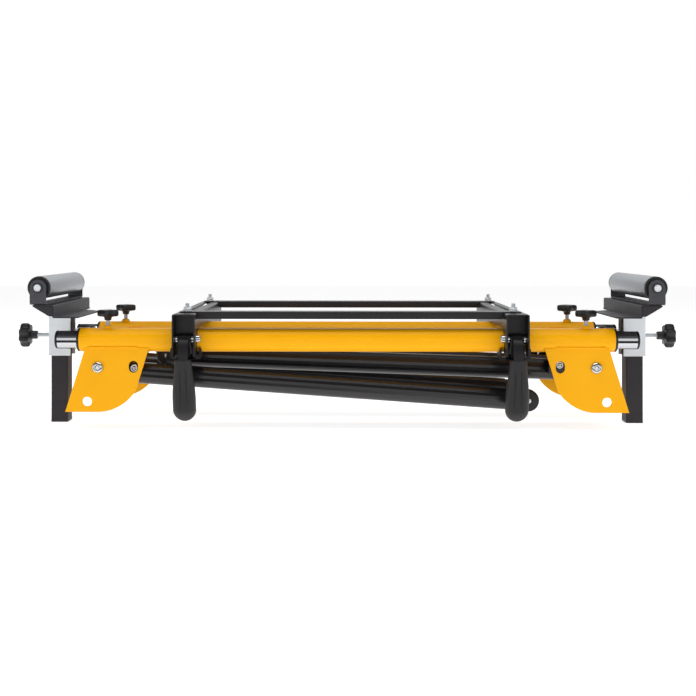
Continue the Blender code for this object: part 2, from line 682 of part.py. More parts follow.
def side_knob(side):
    """A lobed knob whose screw goes in through the holder and presses on the post."""
    tip = side * (POST_OUTER_X + GAP)
    hub = side * (HOLDER_OUTER_X + SIDE_SCREW_SHOWN)
    head = hub + side * SIDE_HUB_LENGTH
    rings = knob_rings(tip, hub, head, head + side * SIDE_KNOB_THICKNESS,
                       SIDE_KNOB_RADIUS, SIDE_HUB_RADIUS, SIDE_KNOB_LOBE_SHARE)
    node(f"{SIDE_NAMES[side]}_post_knob",
         turned(rings, "X", (0, 0, SIDE_KNOB_Z), SIDE_KNOB_SIDES, SIDE_KNOB_LOBES), PLASTIC,
         (tip, 0, SIDE_KNOB_Z))


# Trays, yokes and rollers on top of the posts
TRAY_PLATE_LOW = POST_TOP + GAP
TRAY_PLATE_HIGH = TRAY_PLATE_LOW + SHEET
YOKE_LOW = TRAY_PLATE_HIGH + GAP
ROLLER_Z = YOKE_LOW + SHEET + ROLLER_LIFT
EAR_INNER_Y = YOKE_HALF_DEPTH - SHEET


def tray(side):
    """Sheet folded to a Z: a plate on the post, a wall down its inner edge and a lip inboard.

    A gusset stiffens each end, under the plate.
    """
    wall_in, wall_out = TRAY_WALL_X, TRAY_WALL_X + SHEET
    edge = wall_in + TRAY_PLATE_REACH
    lip = wall_in - TRAY_LIP_REACH
    low = TRAY_PLATE_HIGH - TRAY_DROP - SHEET
    section = [(wall_in, TRAY_PLATE_HIGH), (edge, TRAY_PLATE_HIGH), (edge, TRAY_PLATE_LOW),
               (wall_out, TRAY_PLATE_LOW), (wall_out, low), (lip, low), (lip, low + SHEET),
               (wall_in, low + SHEET)]
    section = [(side * x, z) for x, z in section]
    plate = node(f"{SIDE_NAMES[side]}_tray", prism(section, "Y", -TRAY_HALF_DEPTH, TRAY_HALF_DEPTH), BLACK)
    bite = SHEET / 2
    gusset = [(wall_out - bite, TRAY_PLATE_LOW + bite), (edge - bite, TRAY_PLATE_LOW + bite),
              (edge - bite, TRAY_PLATE_LOW), (wall_out + TRAY_GUSSET_TOE, TRAY_PLATE_LOW - TRAY_GUSSET_DROP),
              (wall_out - bite, TRAY_PLATE_LOW - TRAY_GUSSET_DROP)]
    gusset = [(side * x, z) for x, z in gusset]
    for end in (FRONT, REAR):
        faces = sorted((end * TRAY_HALF_DEPTH, end * (TRAY_HALF_DEPTH - SHEET)))
        weld(plate, prism(gusset, "Y", *faces))


def yoke(side):
    """A strip with an ear turned up at each end, and the roller's axle bolted between the ears."""
    x = side * YOKE_X
    half = YOKE_WIDTH / 2
    base = box((x - half, -YOKE_HALF_DEPTH, YOKE_LOW), (x + half, YOKE_HALF_DEPTH, YOKE_LOW + SHEET))
    strip = node(f"{SIDE_NAMES[side]}_roller_yoke", base, BLACK)
    ear = [(x - half, YOKE_LOW), (x + half, YOKE_LOW), *arc((x, ROLLER_Z), half, 0, 180)]
    for end in (FRONT, REAR):
        weld(strip, prism(ear, "Y", *sorted((end * EAR_INNER_Y, end * YOKE_HALF_DEPTH))))
    head = YOKE_HALF_DEPTH + AXLE_HEAD_HEIGHT
    rings = [(-head, 0), (-head, AXLE_HEAD_RADIUS), (WELD_BITE - YOKE_HALF_DEPTH, AXLE_HEAD_RADIUS),
             (WELD_BITE - YOKE_HALF_DEPTH, AXLE_RADIUS), (YOKE_HALF_DEPTH - WELD_BITE, AXLE_RADIUS),
             (YOKE_HALF_DEPTH - WELD_BITE, AXLE_HEAD_RADIUS), (head, AXLE_HEAD_RADIUS), (head, 0)]
    weld(strip, turned(rings, "Y", (x, 0, ROLLER_Z), SMALL_SIDES))


def roller(side):
    """A steel tube with stepped ends, bored for its axle."""
    x = side * YOKE_X
    bore = AXLE_RADIUS + GAP
    shoulder = EAR_INNER_Y - RUNNING_GAP
    step = shoulder - ROLLER_STEP
    inside = shoulder - ROLLER_END
    skin = ROLLER_RADIUS - ROLLER_WALL
    core = bore + ROLLER_WALL
    rings = [(-shoulder, bore), (-shoulder, ROLLER_STEP_RADIUS), (-step, ROLLER_STEP_RADIUS),
             (-step, ROLLER_RADIUS), (step, ROLLER_RADIUS), (step, ROLLER_STEP_RADIUS),
             (shoulder, ROLLER_STEP_RADIUS), (shoulder, bore)]
    shell = turned(rings, "Y", (x, 0, ROLLER_Z), hollow=True)
    tube = node(f"{SIDE_NAMES[side]}_roller", shell, GREY_STEEL, (x, 0, ROLLER_Z))
    cut(tube, pipe("Y", (x, 0, ROLLER_Z), skin, core, -inside, inside))
    for index in range(ROLLER_HOLES):
        a, b = polar((core + skin) / 2, 360 * index / ROLLER_HOLES)
        cut(tube, rod("Y", (x + a, 0, ROLLER_Z + b), ROLLER_HOLE_RADIUS, inside - OVERRUN, YOKE_HALF_DEPTH,
                      SMALL_SIDES // 2))


for side in (LEFT, RIGHT):
    post_holder(side)
    post(side)
    side_knob(side)
    tray(side)
    yoke(side)
    roller(side)


# Saw mount: saddle brackets, cross bars, levers and jaws
INWARD = {LEFT: 1, RIGHT: -1}
BRACKET_X = {LEFT: BRACKET_LEFT_X, RIGHT: BRACKET_RIGHT_X}
BRACKET_PLATE_LOW = BRACKET_TOP - SHEET
NOTCH_RADIUS = MAIN_RADIUS + GAP


def bracket(side):
    """An upside-down channel across the beam, notched over both main tubes and slotted along its top.

    Its top is a rail for the saw between the cross bars, and is set down a little where they lap onto it.
    """
    x = BRACKET_X[side]
    half = BRACKET_WIDTH / 2
    claw = MAIN_Y + MAIN_RADIUS + BRACKET_CLAW_WIDTH
    outline = [(-BRACKET_FRONT, BRACKET_TOP), (-BRACKET_FRONT, BRACKET_NOSE_LOW), (-MAIN_Y, BRACKET_NOSE_LOW),
               (-MAIN_Y, BRACKET_MIDDLE_LOW), (MAIN_Y, BRACKET_MIDDLE_LOW), (MAIN_Y, BRACKET_CLAW_LOW),
               (claw, BRACKET_CLAW_LOW), (claw + BRACKET_CLAW_WIDTH, BRACKET_TAIL_LOW),
               (BRACKET_REAR, BRACKET_TAIL_LOW), (BRACKET_REAR, BRACKET_TOP)]
    channel = node(f"{SIDE_NAMES[side]}_saddle_bracket", prism(outline, "X", x - half, x + half), BLACK)
    rail_front = BAR_FRONT_Y + BAR_DEPTH / 2 + RUNNING_GAP
    rail_rear = BAR_REAR_Y - BAR_DEPTH / 2 - RUNNING_GAP
    past = half + OVERRUN
    high = BRACKET_TOP + OVERRUN
    for start, stop in ((-BRACKET_FRONT - OVERRUN, rail_front), (rail_rear, BRACKET_REAR + OVERRUN)):
        cut(channel, box((x - past, start, BRACKET_TOP - GAP), (x + past, stop, high)))
    cut(channel, box((x - half + SHEET, -BRACKET_FRONT - OVERRUN, BRACKET_NOSE_LOW - OVERRUN),
                     (x + half - SHEET, BRACKET_REAR + OVERRUN, BRACKET_PLATE_LOW)))
    under = BRACKET_NOSE_LOW - OVERRUN
    for end in (FRONT, REAR):
        y = end * MAIN_Y
        crown = arc((y, MAIN_Z), NOTCH_RADIUS, 0, 180)
        notch = [(y + NOTCH_RADIUS, under), *crown, (y - NOTCH_RADIUS, under)]
        cut(channel, prism(notch, "X", x - past, x + past))
    radius = BRACKET_SLOT_HALF_WIDTH
    slot = arc((x, BAR_REAR_Y + SLOT_MARGIN), radius, 0, 180, SLOT_STEPS)
    slot += arc((x, BAR_FRONT_Y - SLOT_MARGIN), radius, 180, 360, SLOT_STEPS)
    cut(channel, prism(slot, "Z", BRACKET_PLATE_LOW - OVERRUN, high))
    weld(channel, lever_bolt(side))


def lever_bolt(side):
    """The lever's pivot bolt with a bush at each end, its head on the bracket's inner side."""
    way = INWARD[side]
    wall = BRACKET_WIDTH / 2
    inside = LEVER_WIDTH / 2 + 2 * GAP + JAW_EAR_SHEET + GAP
    head = wall + LEVER_BOLT_HEAD
    root = wall - WELD_BITE
    rings = [(head, 0), (head, LEVER_BOLT_HEAD_RADIUS * CROWN_SHARE),
             (head - LEVER_BOLT_HEAD / 2, LEVER_BOLT_HEAD_RADIUS), (root, LEVER_BOLT_HEAD_RADIUS),
             (root, LEVER_BUSH_RADIUS), (inside, LEVER_BUSH_RADIUS), (inside, LEVER_BOLT_RADIUS),
             (-inside, LEVER_BOLT_RADIUS), (-inside, LEVER_BUSH_RADIUS), (-root, LEVER_BUSH_RADIUS),
             (-root, 0)]
    rings = [(way * place, radius) for place, radius in rings]
    return turned(rings, "X", (BRACKET_X[side], LEVER_Y, LEVER_Z), SMALL_SIDES)


def cross_bar(name, y):
    """An upside-down channel between the brackets. Its top laps onto both, bolted through their slots."""
    half = BAR_DEPTH / 2
    low, high = BRACKET_TOP, BRACKET_TOP + BAR_SHEET
    left = BRACKET_LEFT_X + BRACKET_WIDTH / 2 + GAP
    right = BRACKET_RIGHT_X - BRACKET_WIDTH / 2 - GAP
    top = box((BRACKET_LEFT_X - BAR_TAB, y - half, low), (BRACKET_RIGHT_X + BAR_TAB, y + half, high))
    plate = node(name, top, BLACK)
    for end in (FRONT, REAR):
        faces = sorted((y + end * half, y + end * (half - BAR_SHEET)))
        weld(plate, box((left, faces[0], high - BAR_HEIGHT), (right, faces[1], high)))
    under = BRACKET_PLATE_LOW - GAP
    root = high - WELD_BITE
    nut = high + BAR_NUT_HEIGHT
    tip = nut + BAR_STUD_HEIGHT
    rings = [(under - BAR_BOLT_HEAD, 0), (under - BAR_BOLT_HEAD, BAR_NUT_RADIUS), (under, BAR_NUT_RADIUS),
             (under, BAR_BOLT_RADIUS), (root, BAR_BOLT_RADIUS), (root, BAR_NUT_RADIUS),
             (nut, BAR_NUT_RADIUS), (nut, BAR_BOLT_RADIUS), (tip, BAR_BOLT_RADIUS), (tip, 0)]
    for side in (LEFT, RIGHT):
        weld(plate, turned(rings, "Z", (BRACKET_X[side], y, 0), SMALL_SIDES))


def clamp_lever(side):
    """A steel strap with an eye on the pivot bolt, leaning forward into its grip."""
    half = LEVER_WIDTH / 2
    thick = LEVER_SHEET / 2
    bend_y = LEVER_Y + (GRIP_Y - LEVER_Y) * STRAP_BEND_SHARE
    bend_z = (LEVER_Z + GRIP_TOP) / 2
    tang = GRIP_TOP - TANG_DEPTH
    outline = [*arc((LEVER_Y, LEVER_Z), LEVER_EYE_RADIUS, *STRAP_EYE_DEG),
               (bend_y - thick, bend_z), (GRIP_Y - thick, GRIP_TOP + LEVER_SHEET), (GRIP_Y - thick, tang),
               (GRIP_Y + thick, tang), (GRIP_Y + thick, GRIP_TOP + thick), (bend_y + STRAP_BELLY, bend_z)]
    x = BRACKET_X[side]
    eye = (x, LEVER_Y, LEVER_Z)
    strap = node(f"{SIDE_NAMES[side]}_clamp_lever", prism(outline, "X", x - half, x + half), BLACK, eye)
    cut(strap, rod("X", eye, LEVER_BOLT_RADIUS + GAP, -LEVER_WIDTH, LEVER_WIDTH, SMALL_SIDES))


def lever_grip(side):
    """A plastic handle, widening down to a round end, moulded on the strap's tang."""
    x = BRACKET_X[side]
    top, bottom = GRIP_TOP_WIDTH / 2, GRIP_BOTTOM_WIDTH / 2
    waist = GRIP_TOP - (GRIP_TOP - GRIP_BOTTOM) * GRIP_WAIST_SHARE
    outline = [(x + top, GRIP_TOP), (x - top, GRIP_TOP), (x - bottom, waist),
               *arc((x, GRIP_BOTTOM + bottom), bottom, 180, 360), (x + bottom, waist)]
    grip = node(f"{SIDE_NAMES[side]}_lever_grip",
                prism(outline, "Y", GRIP_Y - GRIP_THICKNESS / 2, GRIP_Y + GRIP_THICKNESS / 2), PLASTIC,
                (x, LEVER_Y, LEVER_Z))
    edge = grip.modifiers.new("edge", "BEVEL")
    edge.width = GRIP_EDGE
    edge.segments = GRIP_BEVEL_STEPS
    edge.limit_method = "ANGLE"
    edge.angle_limit = math.radians(GRIP_BEVEL_DEG)
    half, thick = LEVER_WIDTH / 2 + GAP, LEVER_SHEET / 2 + GAP
    cut(grip, box((x - half, GRIP_Y - thick, GRIP_TOP - TANG_DEPTH - GAP),
                  (x + half, GRIP_Y + thick, GRIP_TOP + OVERRUN)))


def jaw(side):
    """A folded cradle under the front main tube, hung on the lever's bolt by two ears."""
    x = BRACKET_X[side]
    half = JAW_WIDTH / 2
    sheet = JAW_SHEET
    section = rounded([(x - half, JAW_LOW), (x + half, JAW_LOW), (x + half, JAW_FRONT_HIGH),
                       (x - half, JAW_FRONT_HIGH)], JAW_CORNER)
    eye = (x, LEVER_Y, LEVER_Z)
    cradle = node(f"{SIDE_NAMES[side]}_jaw", prism(section, "Y", -JAW_FRONT, -JAW_BACK), BLACK, eye)
    cut(cradle, box((x - half + sheet, -JAW_FRONT - OVERRUN, JAW_LOW + sheet),
                    (x + half - sheet, OVERRUN - JAW_BACK, JAW_FRONT_HIGH + OVERRUN)))
    cut(cradle, rod("X", (x, -MAIN_Y, MAIN_Z), NOTCH_RADIUS, -JAW_WIDTH, JAW_WIDTH))
    inner = LEVER_WIDTH / 2 + GAP
    low = JAW_LOW + sheet - WELD_BITE
    front = -JAW_FRONT
    ear = [*arc((LEVER_Y, LEVER_Z), LEVER_EYE_RADIUS, *JAW_EYE_DEG), (front, low + JAW_EAR_WIDTH / 2),
           (front, low), (front + JAW_EAR_WIDTH, low), (front + JAW_EAR_WIDTH / 3, low + JAW_EAR_WIDTH)]
    for way in (LEFT, RIGHT):
        faces = sorted((x + way * inner, x + way * (inner + JAW_EAR_SHEET)))
        weld(cradle, prism(ear, "X", *faces))
    cut(cradle, rod("X", eye, LEVER_BOLT_RADIUS + GAP, -half, half, SMALL_SIDES))


for side in (LEFT, RIGHT):
    bracket(side)
    clamp_lever(side)
    lever_grip(side)
    jaw(side)
cross_bar("front_cross_bar", BAR_FRONT_Y)
cross_bar("rear_cross_bar", BAR_REAR_Y)
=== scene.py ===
"""Folding stand for a mitre saw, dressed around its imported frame. Metres, +Z up, X along the beam."""

import math

import bmesh
import bpy
import numpy as np
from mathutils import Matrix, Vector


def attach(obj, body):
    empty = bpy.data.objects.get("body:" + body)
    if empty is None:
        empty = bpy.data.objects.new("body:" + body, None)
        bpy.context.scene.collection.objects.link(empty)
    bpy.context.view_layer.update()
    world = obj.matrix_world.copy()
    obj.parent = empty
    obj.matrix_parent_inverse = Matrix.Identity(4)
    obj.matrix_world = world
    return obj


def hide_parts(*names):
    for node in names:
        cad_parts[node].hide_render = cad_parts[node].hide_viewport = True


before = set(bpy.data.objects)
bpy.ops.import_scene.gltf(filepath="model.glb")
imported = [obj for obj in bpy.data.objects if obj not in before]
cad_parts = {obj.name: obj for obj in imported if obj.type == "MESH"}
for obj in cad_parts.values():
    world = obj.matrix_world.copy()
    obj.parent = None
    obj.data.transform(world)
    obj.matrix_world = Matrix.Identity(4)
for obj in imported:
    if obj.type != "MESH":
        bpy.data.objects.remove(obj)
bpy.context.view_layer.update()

# Camera, floor and lights.
# The photograph was taken level, from 2 m in front of the beam and a little above it, on pale paper
# under broad soft lamps. The paper and the lamps are not part of the stand.
CAMERA_SPOT = (-0.0083, -2.0975, 0.3315)
CAMERA_TURN = 0.0135
CAMERA_LENS_MM = 56.9
PHOTO_PIXELS = 696
CAMERA_SHIFT_X = 21.3 / PHOTO_PIXELS
CAMERA_SHIFT_Y = -106.6 / PHOTO_PIXELS
PAPER_HALF = 6.0
PAPER_GLOW = 0.74
CARD_LOW = (-1.5, -0.75)
CARD_HIGH = (1.5, -0.32)
CARD_Z = 0.002


def linear(code):
    """An sRGB hex colour as linear RGBA.

    A channel v is v / 12.92 up to 0.04045, and ((v + 0.055) / 1.055) ^ 2.4 above.
    """
    v = np.array([int(code[i:i + 2], 16) for i in (0, 2, 4)]) / 255
    return (*np.where(v <= 0.04045, v / 12.92, ((v + 0.055) / 1.055) ** 2.4).tolist(), 1.0)


def blank(name):
    """A new material, its node tree and its Principled shader."""
    material = bpy.data.materials.new(name)
    material.use_nodes = True
    return material, material.node_tree, material.node_tree.nodes["Principled BSDF"]


def sheet_of(name, low, high, z, material):
    """A flat sheet of the studio between two corners (x, y), at height z."""
    data = bpy.data.meshes.new(name)
    corners = [(*low, z), (high[0], low[1], z), (*high, z), (low[0], high[1], z)]
    data.from_pydata(corners, [], [(0, 1, 2, 3)])
    data.materials.append(material)
    made = bpy.data.objects.new(name, data)
    bpy.context.collection.objects.link(made)
    return made


camera = bpy.data.objects.new("camera", bpy.data.cameras.new("camera"))
camera.data.lens = CAMERA_LENS_MM
camera.data.shift_x = CAMERA_SHIFT_X
camera.data.shift_y = CAMERA_SHIFT_Y
camera.location = CAMERA_SPOT
camera.rotation_euler = (math.pi / 2, 0, CAMERA_TURN)
bpy.context.collection.objects.link(camera)
bpy.context.scene.camera = camera

white_paper, tree, shader = blank("matt_white_paper")
shader.inputs["Base Color"].default_value = linear("F4F4F4")
shader.inputs["Roughness"].default_value = 0.9
shader.inputs["Emission Color"].default_value = linear("FFFFFF")
shader.inputs["Emission Strength"].default_value = PAPER_GLOW
sheet_of("paper", (-PAPER_HALF, -PAPER_HALF), (PAPER_HALF, PAPER_HALF), 0.0, white_paper)
# A black card lies on the paper in front of the stand. Only glossy skins see it, as a dark band low on
# each tube.
black_card, tree, shader = blank("matt_black_card")
shader.inputs["Base Color"].default_value = linear("0A0A0A")
shader.inputs["Roughness"].default_value = 0.9
card = sheet_of("card", CARD_LOW, CARD_HIGH, CARD_Z, black_card)
card.visible_camera = card.visible_diffuse = card.visible_shadow = False

# Each lamp: name, place, what it points at, size and watts.
LAMPS = (
    ("softbox_overhead", (0.0, -0.45, 2.3), (0, -0.1, 0.1), (3.0, 0.9), 30),
    ("softbox_front_left", (-1.9, -2.4, 1.1), (-0.2, 0, 0.1), (1.4, 1.0), 4),
    ("softbox_front_right", (1.9, -2.4, 1.1), (0.2, 0, 0.1), (1.4, 1.0), 4),
    ("softbox_back", (0.0, 2.4, 1.5), (0, 0, 0.2), (2.6, 0.8), 10),
)
for name, spot, aim, size, watts in LAMPS:
    lamp = bpy.data.lights.new(name, "AREA")
    lamp.shape = "RECTANGLE"
    lamp.size, lamp.size_y = size
    lamp.energy = watts
    stand = bpy.data.objects.new(name, lamp)
    stand.location = spot
    stand.rotation_euler = (Vector(aim) - Vector(spot)).to_track_quat("-Z", "Y").to_euler()
    bpy.context.collection.objects.link(stand)

# The room is white round the horizon and darkens to a grey ceiling, which puts the dark bands into the
# chrome.
room = bpy.data.worlds.new("white_studio")
room.use_nodes = True
sky = room.node_tree
way = sky.nodes.new("ShaderNodeTexCoord")
height = sky.nodes.new("ShaderNodeSeparateXYZ")
fade = sky.nodes.new("ShaderNodeMapRange")
fade.interpolation_type = "SMOOTHSTEP"
for name, value in {"From Min": 0.22, "From Max": 0.42, "To Min": 1.0, "To Max": 0.12}.items():
    fade.inputs[name].default_value = value
sky.links.new(way.outputs["Generated"], height.inputs[0])
sky.links.new(height.outputs["Z"], fade.inputs["Value"])
sky.links.new(fade.outputs[0], sky.nodes["Background"].inputs["Strength"])
sky.nodes["Background"].inputs["Color"].default_value = linear("FFFFFF")
bpy.context.scene.world = room
bpy.context.scene.view_settings.view_transform = "Standard"

# Main tubes, their cross ties and the fins under them.
# Mild steel tube and 3 mm plate, welded together and then powder coated a warm yellow as one piece.
# The coat is baked, so it is glossy with a faint orange peel, and it softens every bead and edge.
BEAM_Y = -0.066
TUBE_Y = 0.0815
TUBE_Z = 0.157
FIN_FACE = 0.099
FIN_BEAD = (0.366, 0.456)
FIN_BEAD_Y = FIN_FACE + 0.0004
FIN_BEAD_Z = TUBE_Z - 0.0121
TIE_X = 0.400
TIE_HALF = 0.015
TIE_TOP = 0.167
TIE_BEAD_Y = TUBE_Y - 0.0190
TIE_BEAD_RISE = TIE_TOP - TUBE_Z + 0.0006
BEAD_RADIUS = 0.0019
BEAD_PITCH = 0.0032
BEAD_RIPPLE = 0.16
BEAD_AROUND = 12
MERGE = 2e-6
BEVEL_FROM = math.radians(50)


def add(tree, kind, inputs=None, **settings):
    """Adds a node. Settings are its properties, and each input is a value or another node's socket."""
    made = tree.nodes.new(kind)
    for name, value in settings.items():
        setattr(made, name, value)
    for name, value in (inputs or {}).items():
        if isinstance(value, bpy.types.NodeSocket):
            tree.links.new(value, made.inputs[name])
        else:
            made.inputs[name].default_value = value
    return made


yellow_coat, tree, shader = blank("yellow_powder_coat")
place = add(tree, "ShaderNodeTexCoord").outputs["Object"]
# Powder pools and thins over about 60 mm, which shifts the shade very slightly.
pool = add(tree, "ShaderNodeTexNoise", {"Vector": place, "Scale": 16.0, "Detail": 2.0}).outputs["Fac"]
shade = add(tree, "ShaderNodeMix", {"Factor": pool, 6: linear("FAB004"), 7: linear("FEB60A")},
            data_type="RGBA")
# Orange peel is about 1.5 mm across; it is drawn at 4 mm so that it shows.
peel = add(tree, "ShaderNodeTexNoise", {"Vector": place, "Scale": 250.0, "Detail": 1.0}).outputs["Fac"]
bump = add(tree, "ShaderNodeBump", {"Height": peel, "Strength": 0.06, "Distance": 0.0006})
gloss = add(tree, "ShaderNodeMapRange", {"Value": peel, "To Min": 0.28, "To Max": 0.38})
shader.inputs["Specular IOR Level"].default_value = 0.15
tree.links.new(shade.outputs[2], shader.inputs["Base Color"])
tree.links.new(gloss.outputs[0], shader.inputs["Roughness"])
tree.links.new(bump.outputs[0], shader.inputs["Normal"])


def dress(material, *nodes):
    """Gives CAD nodes a material in every slot they have."""
    for name in nodes:
        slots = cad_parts[name].data.materials
        slots.clear()
        slots.append(material)


def piece(name, grids, material, body, stands_for=(), bevel=0.0, sharp=40):
    """A mesh from grids of points, each (rows, around, 3).

    Every row closes on itself and joins on to the next, and the first and last rows are filled, unless they
    are the same row. Seams and poles then merge, and the faces are turned outwards.
    """
    points, faces, start = [], [], 0
    for grid in grids:
        rows, around = grid.shape[:2]
        spot = np.arange(rows * around).reshape(rows, around) + start
        turn = np.roll(spot, -1, 1)
        faces += np.stack([spot[:-1], turn[:-1], turn[1:], spot[1:]], -1).reshape(-1, 4).tolist()
        if not np.allclose(grid[0], grid[-1], atol=1e-7):
            faces += [spot[0, ::-1].tolist(), spot[-1].tolist()]
        points.append(grid.reshape(-1, 3))
        start += rows * around
    data = bpy.data.meshes.new(name)
    data.from_pydata(np.concatenate(points).tolist(), [], faces)
    mesh = bmesh.new()
    mesh.from_mesh(data)
    bmesh.ops.remove_doubles(mesh, verts=mesh.verts, dist=MERGE)
    bmesh.ops.recalc_face_normals(mesh, faces=mesh.faces)
    mesh.to_mesh(data)
    mesh.free()
    data.shade_smooth()
    data.set_sharp_from_angle(angle=math.radians(sharp))
    data.materials.append(material)
    made = bpy.data.objects.new(name, data)
    bpy.context.collection.objects.link(made)
    if bevel:
        edge = made.modifiers.new("edge", "BEVEL")
        edge.width, edge.segments, edge.limit_method = bevel, 2, "ANGLE"
        edge.angle_limit = BEVEL_FROM
        edge.use_clamp_overlap = True
    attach(made, body)
    if stands_for:
        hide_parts(*stands_for)
    return made


def bead(low, high, y, z):
    """A weld bead along X, drawn to a point at its ends.

    Its radius at x is radius (1 + ripple cos(tau x / pitch)).
    """
    x = np.linspace(low, high, round((high - low) / BEAD_PITCH * 6))
    run_out = np.sqrt(np.clip(np.minimum(x - low, high - x) / (2 * BEAD_RADIUS), 0, 1))
    radius = BEAD_RADIUS * (1 + BEAD_RIPPLE * np.cos(math.tau * x / BEAD_PITCH)) * run_out
    angle = np.linspace(0, math.tau, BEAD_AROUND, endpoint=False)
    spots = [np.broadcast_to(x[:, None], (len(x), BEAD_AROUND)), y + radius[:, None] * np.cos(angle),
             z + radius[:, None] * np.sin(angle)]
    return np.stack(spots, -1)


dress(yellow_coat, "front_main_tube", "rear_main_tube", "left_cross_tie", "right_cross_tie",
      "left_front_fin", "left_rear_fin", "right_front_fin", "right_rear_fin")
beads = []
for side in (-1, 1):
    ends = sorted((side * FIN_BEAD[0], side * FIN_BEAD[1]))
    for end in (-1, 1):
        beads.append(bead(*ends, BEAM_Y + end * FIN_BEAD_Y, FIN_BEAD_Z))
        for rise in (-1, 1):
            beads.append(bead(side * TIE_X - TIE_HALF, side * TIE_X + TIE_HALF,
                              BEAM_Y + end * TIE_BEAD_Y, TUBE_Z + rise * TIE_BEAD_RISE))
piece("weld_beads", beads, yellow_coat, "beam")

# End bushings of the main tubes.
# Flanged sleeves of black nylon, moulded, in which the chrome tubes slide.
# The moulding leaves a satin skin with a very fine grain.
black_nylon, tree, shader = blank("moulded_black_nylon")
place = add(tree, "ShaderNodeTexCoord").outputs["Object"]
# Spark-eroded mould grain is about 0.3 mm; it is drawn at 1.2 mm.
grain = add(tree, "ShaderNodeTexNoise", {"Vector": place, "Scale": 830.0, "Detail": 2.0}).outputs["Fac"]
bump = add(tree, "ShaderNodeBump", {"Height": grain, "Strength": 0.12, "Distance": 0.0003})
gloss = add(tree, "ShaderNodeMapRange", {"Value": grain, "To Min": 0.34, "To Max": 0.48})
tint = add(tree, "ShaderNodeMix", {"Factor": grain, 6: linear("121113"), 7: linear("19181A")},
           data_type="RGBA")
tree.links.new(tint.outputs[2], shader.inputs["Base Color"])
tree.links.new(gloss.outputs[0], shader.inputs["Roughness"])
tree.links.new(bump.outputs[0], shader.inputs["Normal"])
dress(black_nylon, "left_front_end_bushing", "left_rear_end_bushing", "right_front_end_bushing",
      "right_rear_end_bushing")

# Extension tubes.
# Welded steel tube, ground, buffed and chromium plated, so it mirrors the lamps in long bands.
# Each outer end is closed by a domed plug of black nylon.
EXT_RADIUS = 0.016
EXT_BORE = 0.0145
EXT_END = 0.511
PLUG_INNER = EXT_END - 0.012
PLUG_FACE = EXT_END + 0.0001
PLUG_OUTER = EXT_END + 0.0046
PLUG_FIT = EXT_BORE - 0.0002
SIDES = ((-1, "left"), (1, "right"))

chrome, tree, shader = blank("buffed_chromium_plate")
place = add(tree, "ShaderNodeTexCoord").outputs["Object"]
# Buffing marks run round the tube about 1 mm apart.
marks = add(tree, "ShaderNodeMapping", {"Vector": place, "Scale": (1000.0, 60.0, 60.0)}).outputs[0]
haze = add(tree, "ShaderNodeTexNoise", {"Vector": marks, "Scale": 1.0, "Detail": 3.0}).outputs["Fac"]
gloss = add(tree, "ShaderNodeMapRange", {"Value": haze, "To Min": 0.07, "To Max": 0.15})
shader.inputs["Base Color"].default_value = linear("C8CACD")
shader.inputs["Metallic"].default_value = 1.0
tree.links.new(gloss.outputs[0], shader.inputs["Roughness"])


def eased(corners, ease, steps=5):
    """A closed outline (..., corners, axes) with its corners rounded.

    Each corner c becomes the parabola (1-t)^2 a + 2t(1-t) c + t^2 b, where a and b lie on its two sides, the
    distance ease away. Ease is one number, or one for each corner.
    """
    c = np.asarray(corners, float)
    reach = np.broadcast_to(ease, c.shape[:-1])[..., None]
    before, after = np.roll(c, 1, -2) - c, np.roll(c, -1, -2) - c
    a = c + before * reach / np.maximum(np.linalg.norm(before, axis=-1, keepdims=True), 1e-9)
    b = c + after * reach / np.maximum(np.linalg.norm(after, axis=-1, keepdims=True), 1e-9)
    t = np.linspace(0, 1, steps)[:, None]
    a, b, c = a[..., None, :], b[..., None, :], c[..., None, :]
    curve = (1 - t) ** 2 * a + 2 * t * (1 - t) * c + t ** 2 * b
    return curve.reshape(*curve.shape[:-3], -1, curve.shape[-1])


def spun(profile, axis, centre, form=None, around=48):
    """Points round an axis. A row of the profile is (place along the axis, radius, share).

    At angle t the radius is radius (1 - share + share form(t)): share 0 is round and share 1 takes the form.
    """
    rows = np.asarray(profile, float)
    rows = np.pad(rows, ((0, 0), (0, 3 - rows.shape[1])))
    place, radius, share = rows.T[..., None]
    angle = np.linspace(0, math.tau, around, endpoint=False)
    reach = radius * (1 - share + share * (form(angle) if form else 1))
    a, b = reach * np.cos(angle), reach * np.sin(angle)
    along = np.broadcast_to(place, a.shape)
    return np.stack({"X": (along, a, b), "Y": (b, along, a), "Z": (a, b, along)}[axis], -1) + np.array(centre)


dress(chrome, "left_front_extension_tube", "left_rear_extension_tube", "right_front_extension_tube",
      "right_rear_extension_tube")
for side, side_name in SIDES:
    plug = eased([(PLUG_INNER, 0), (PLUG_INNER, PLUG_FIT), (PLUG_FACE, PLUG_FIT), (PLUG_FACE, EXT_RADIUS),
                  (PLUG_OUTER, EXT_RADIUS), (PLUG_OUTER, 0)], [0, 0.001, 0, 0.0004, 0.0025, 0])
    plug = plug * (side, 1)
    piece(f"{side_name}_tube_plugs",
          [spun(plug, "X", (0, BEAM_Y + end * TUBE_Y, TUBE_Z)) for end in (-1, 1)],
          black_nylon, f"{side_name}_extension")

# Clamp knobs on top of the beam.
# A four-armed knob of black nylon moulded on a zinc-plated M8 screw, which goes down through a welded boss.
# The arms are rounded and sit on a short flared hub.
KNOB_X = 0.4235
KNOB_TIP = 0.1733
KNOB_HUB = 0.1916
KNOB_RADIUS = 0.019
KNOB_ARMS = 4
KNOB_WAIST = 0.27
M8_RADIUS = 0.0039
M8_PITCH = 0.00125
THREAD_DEPTH = 0.28
CORNERS = [(side, end, f"{side_name}_{end_name}") for side, side_name in SIDES
           for end, end_name in ((-1, "front"), (1, "rear"))]

zinc, tree, shader = blank("bright_zinc_plate")
place = add(tree, "ShaderNodeTexCoord").outputs["Object"]
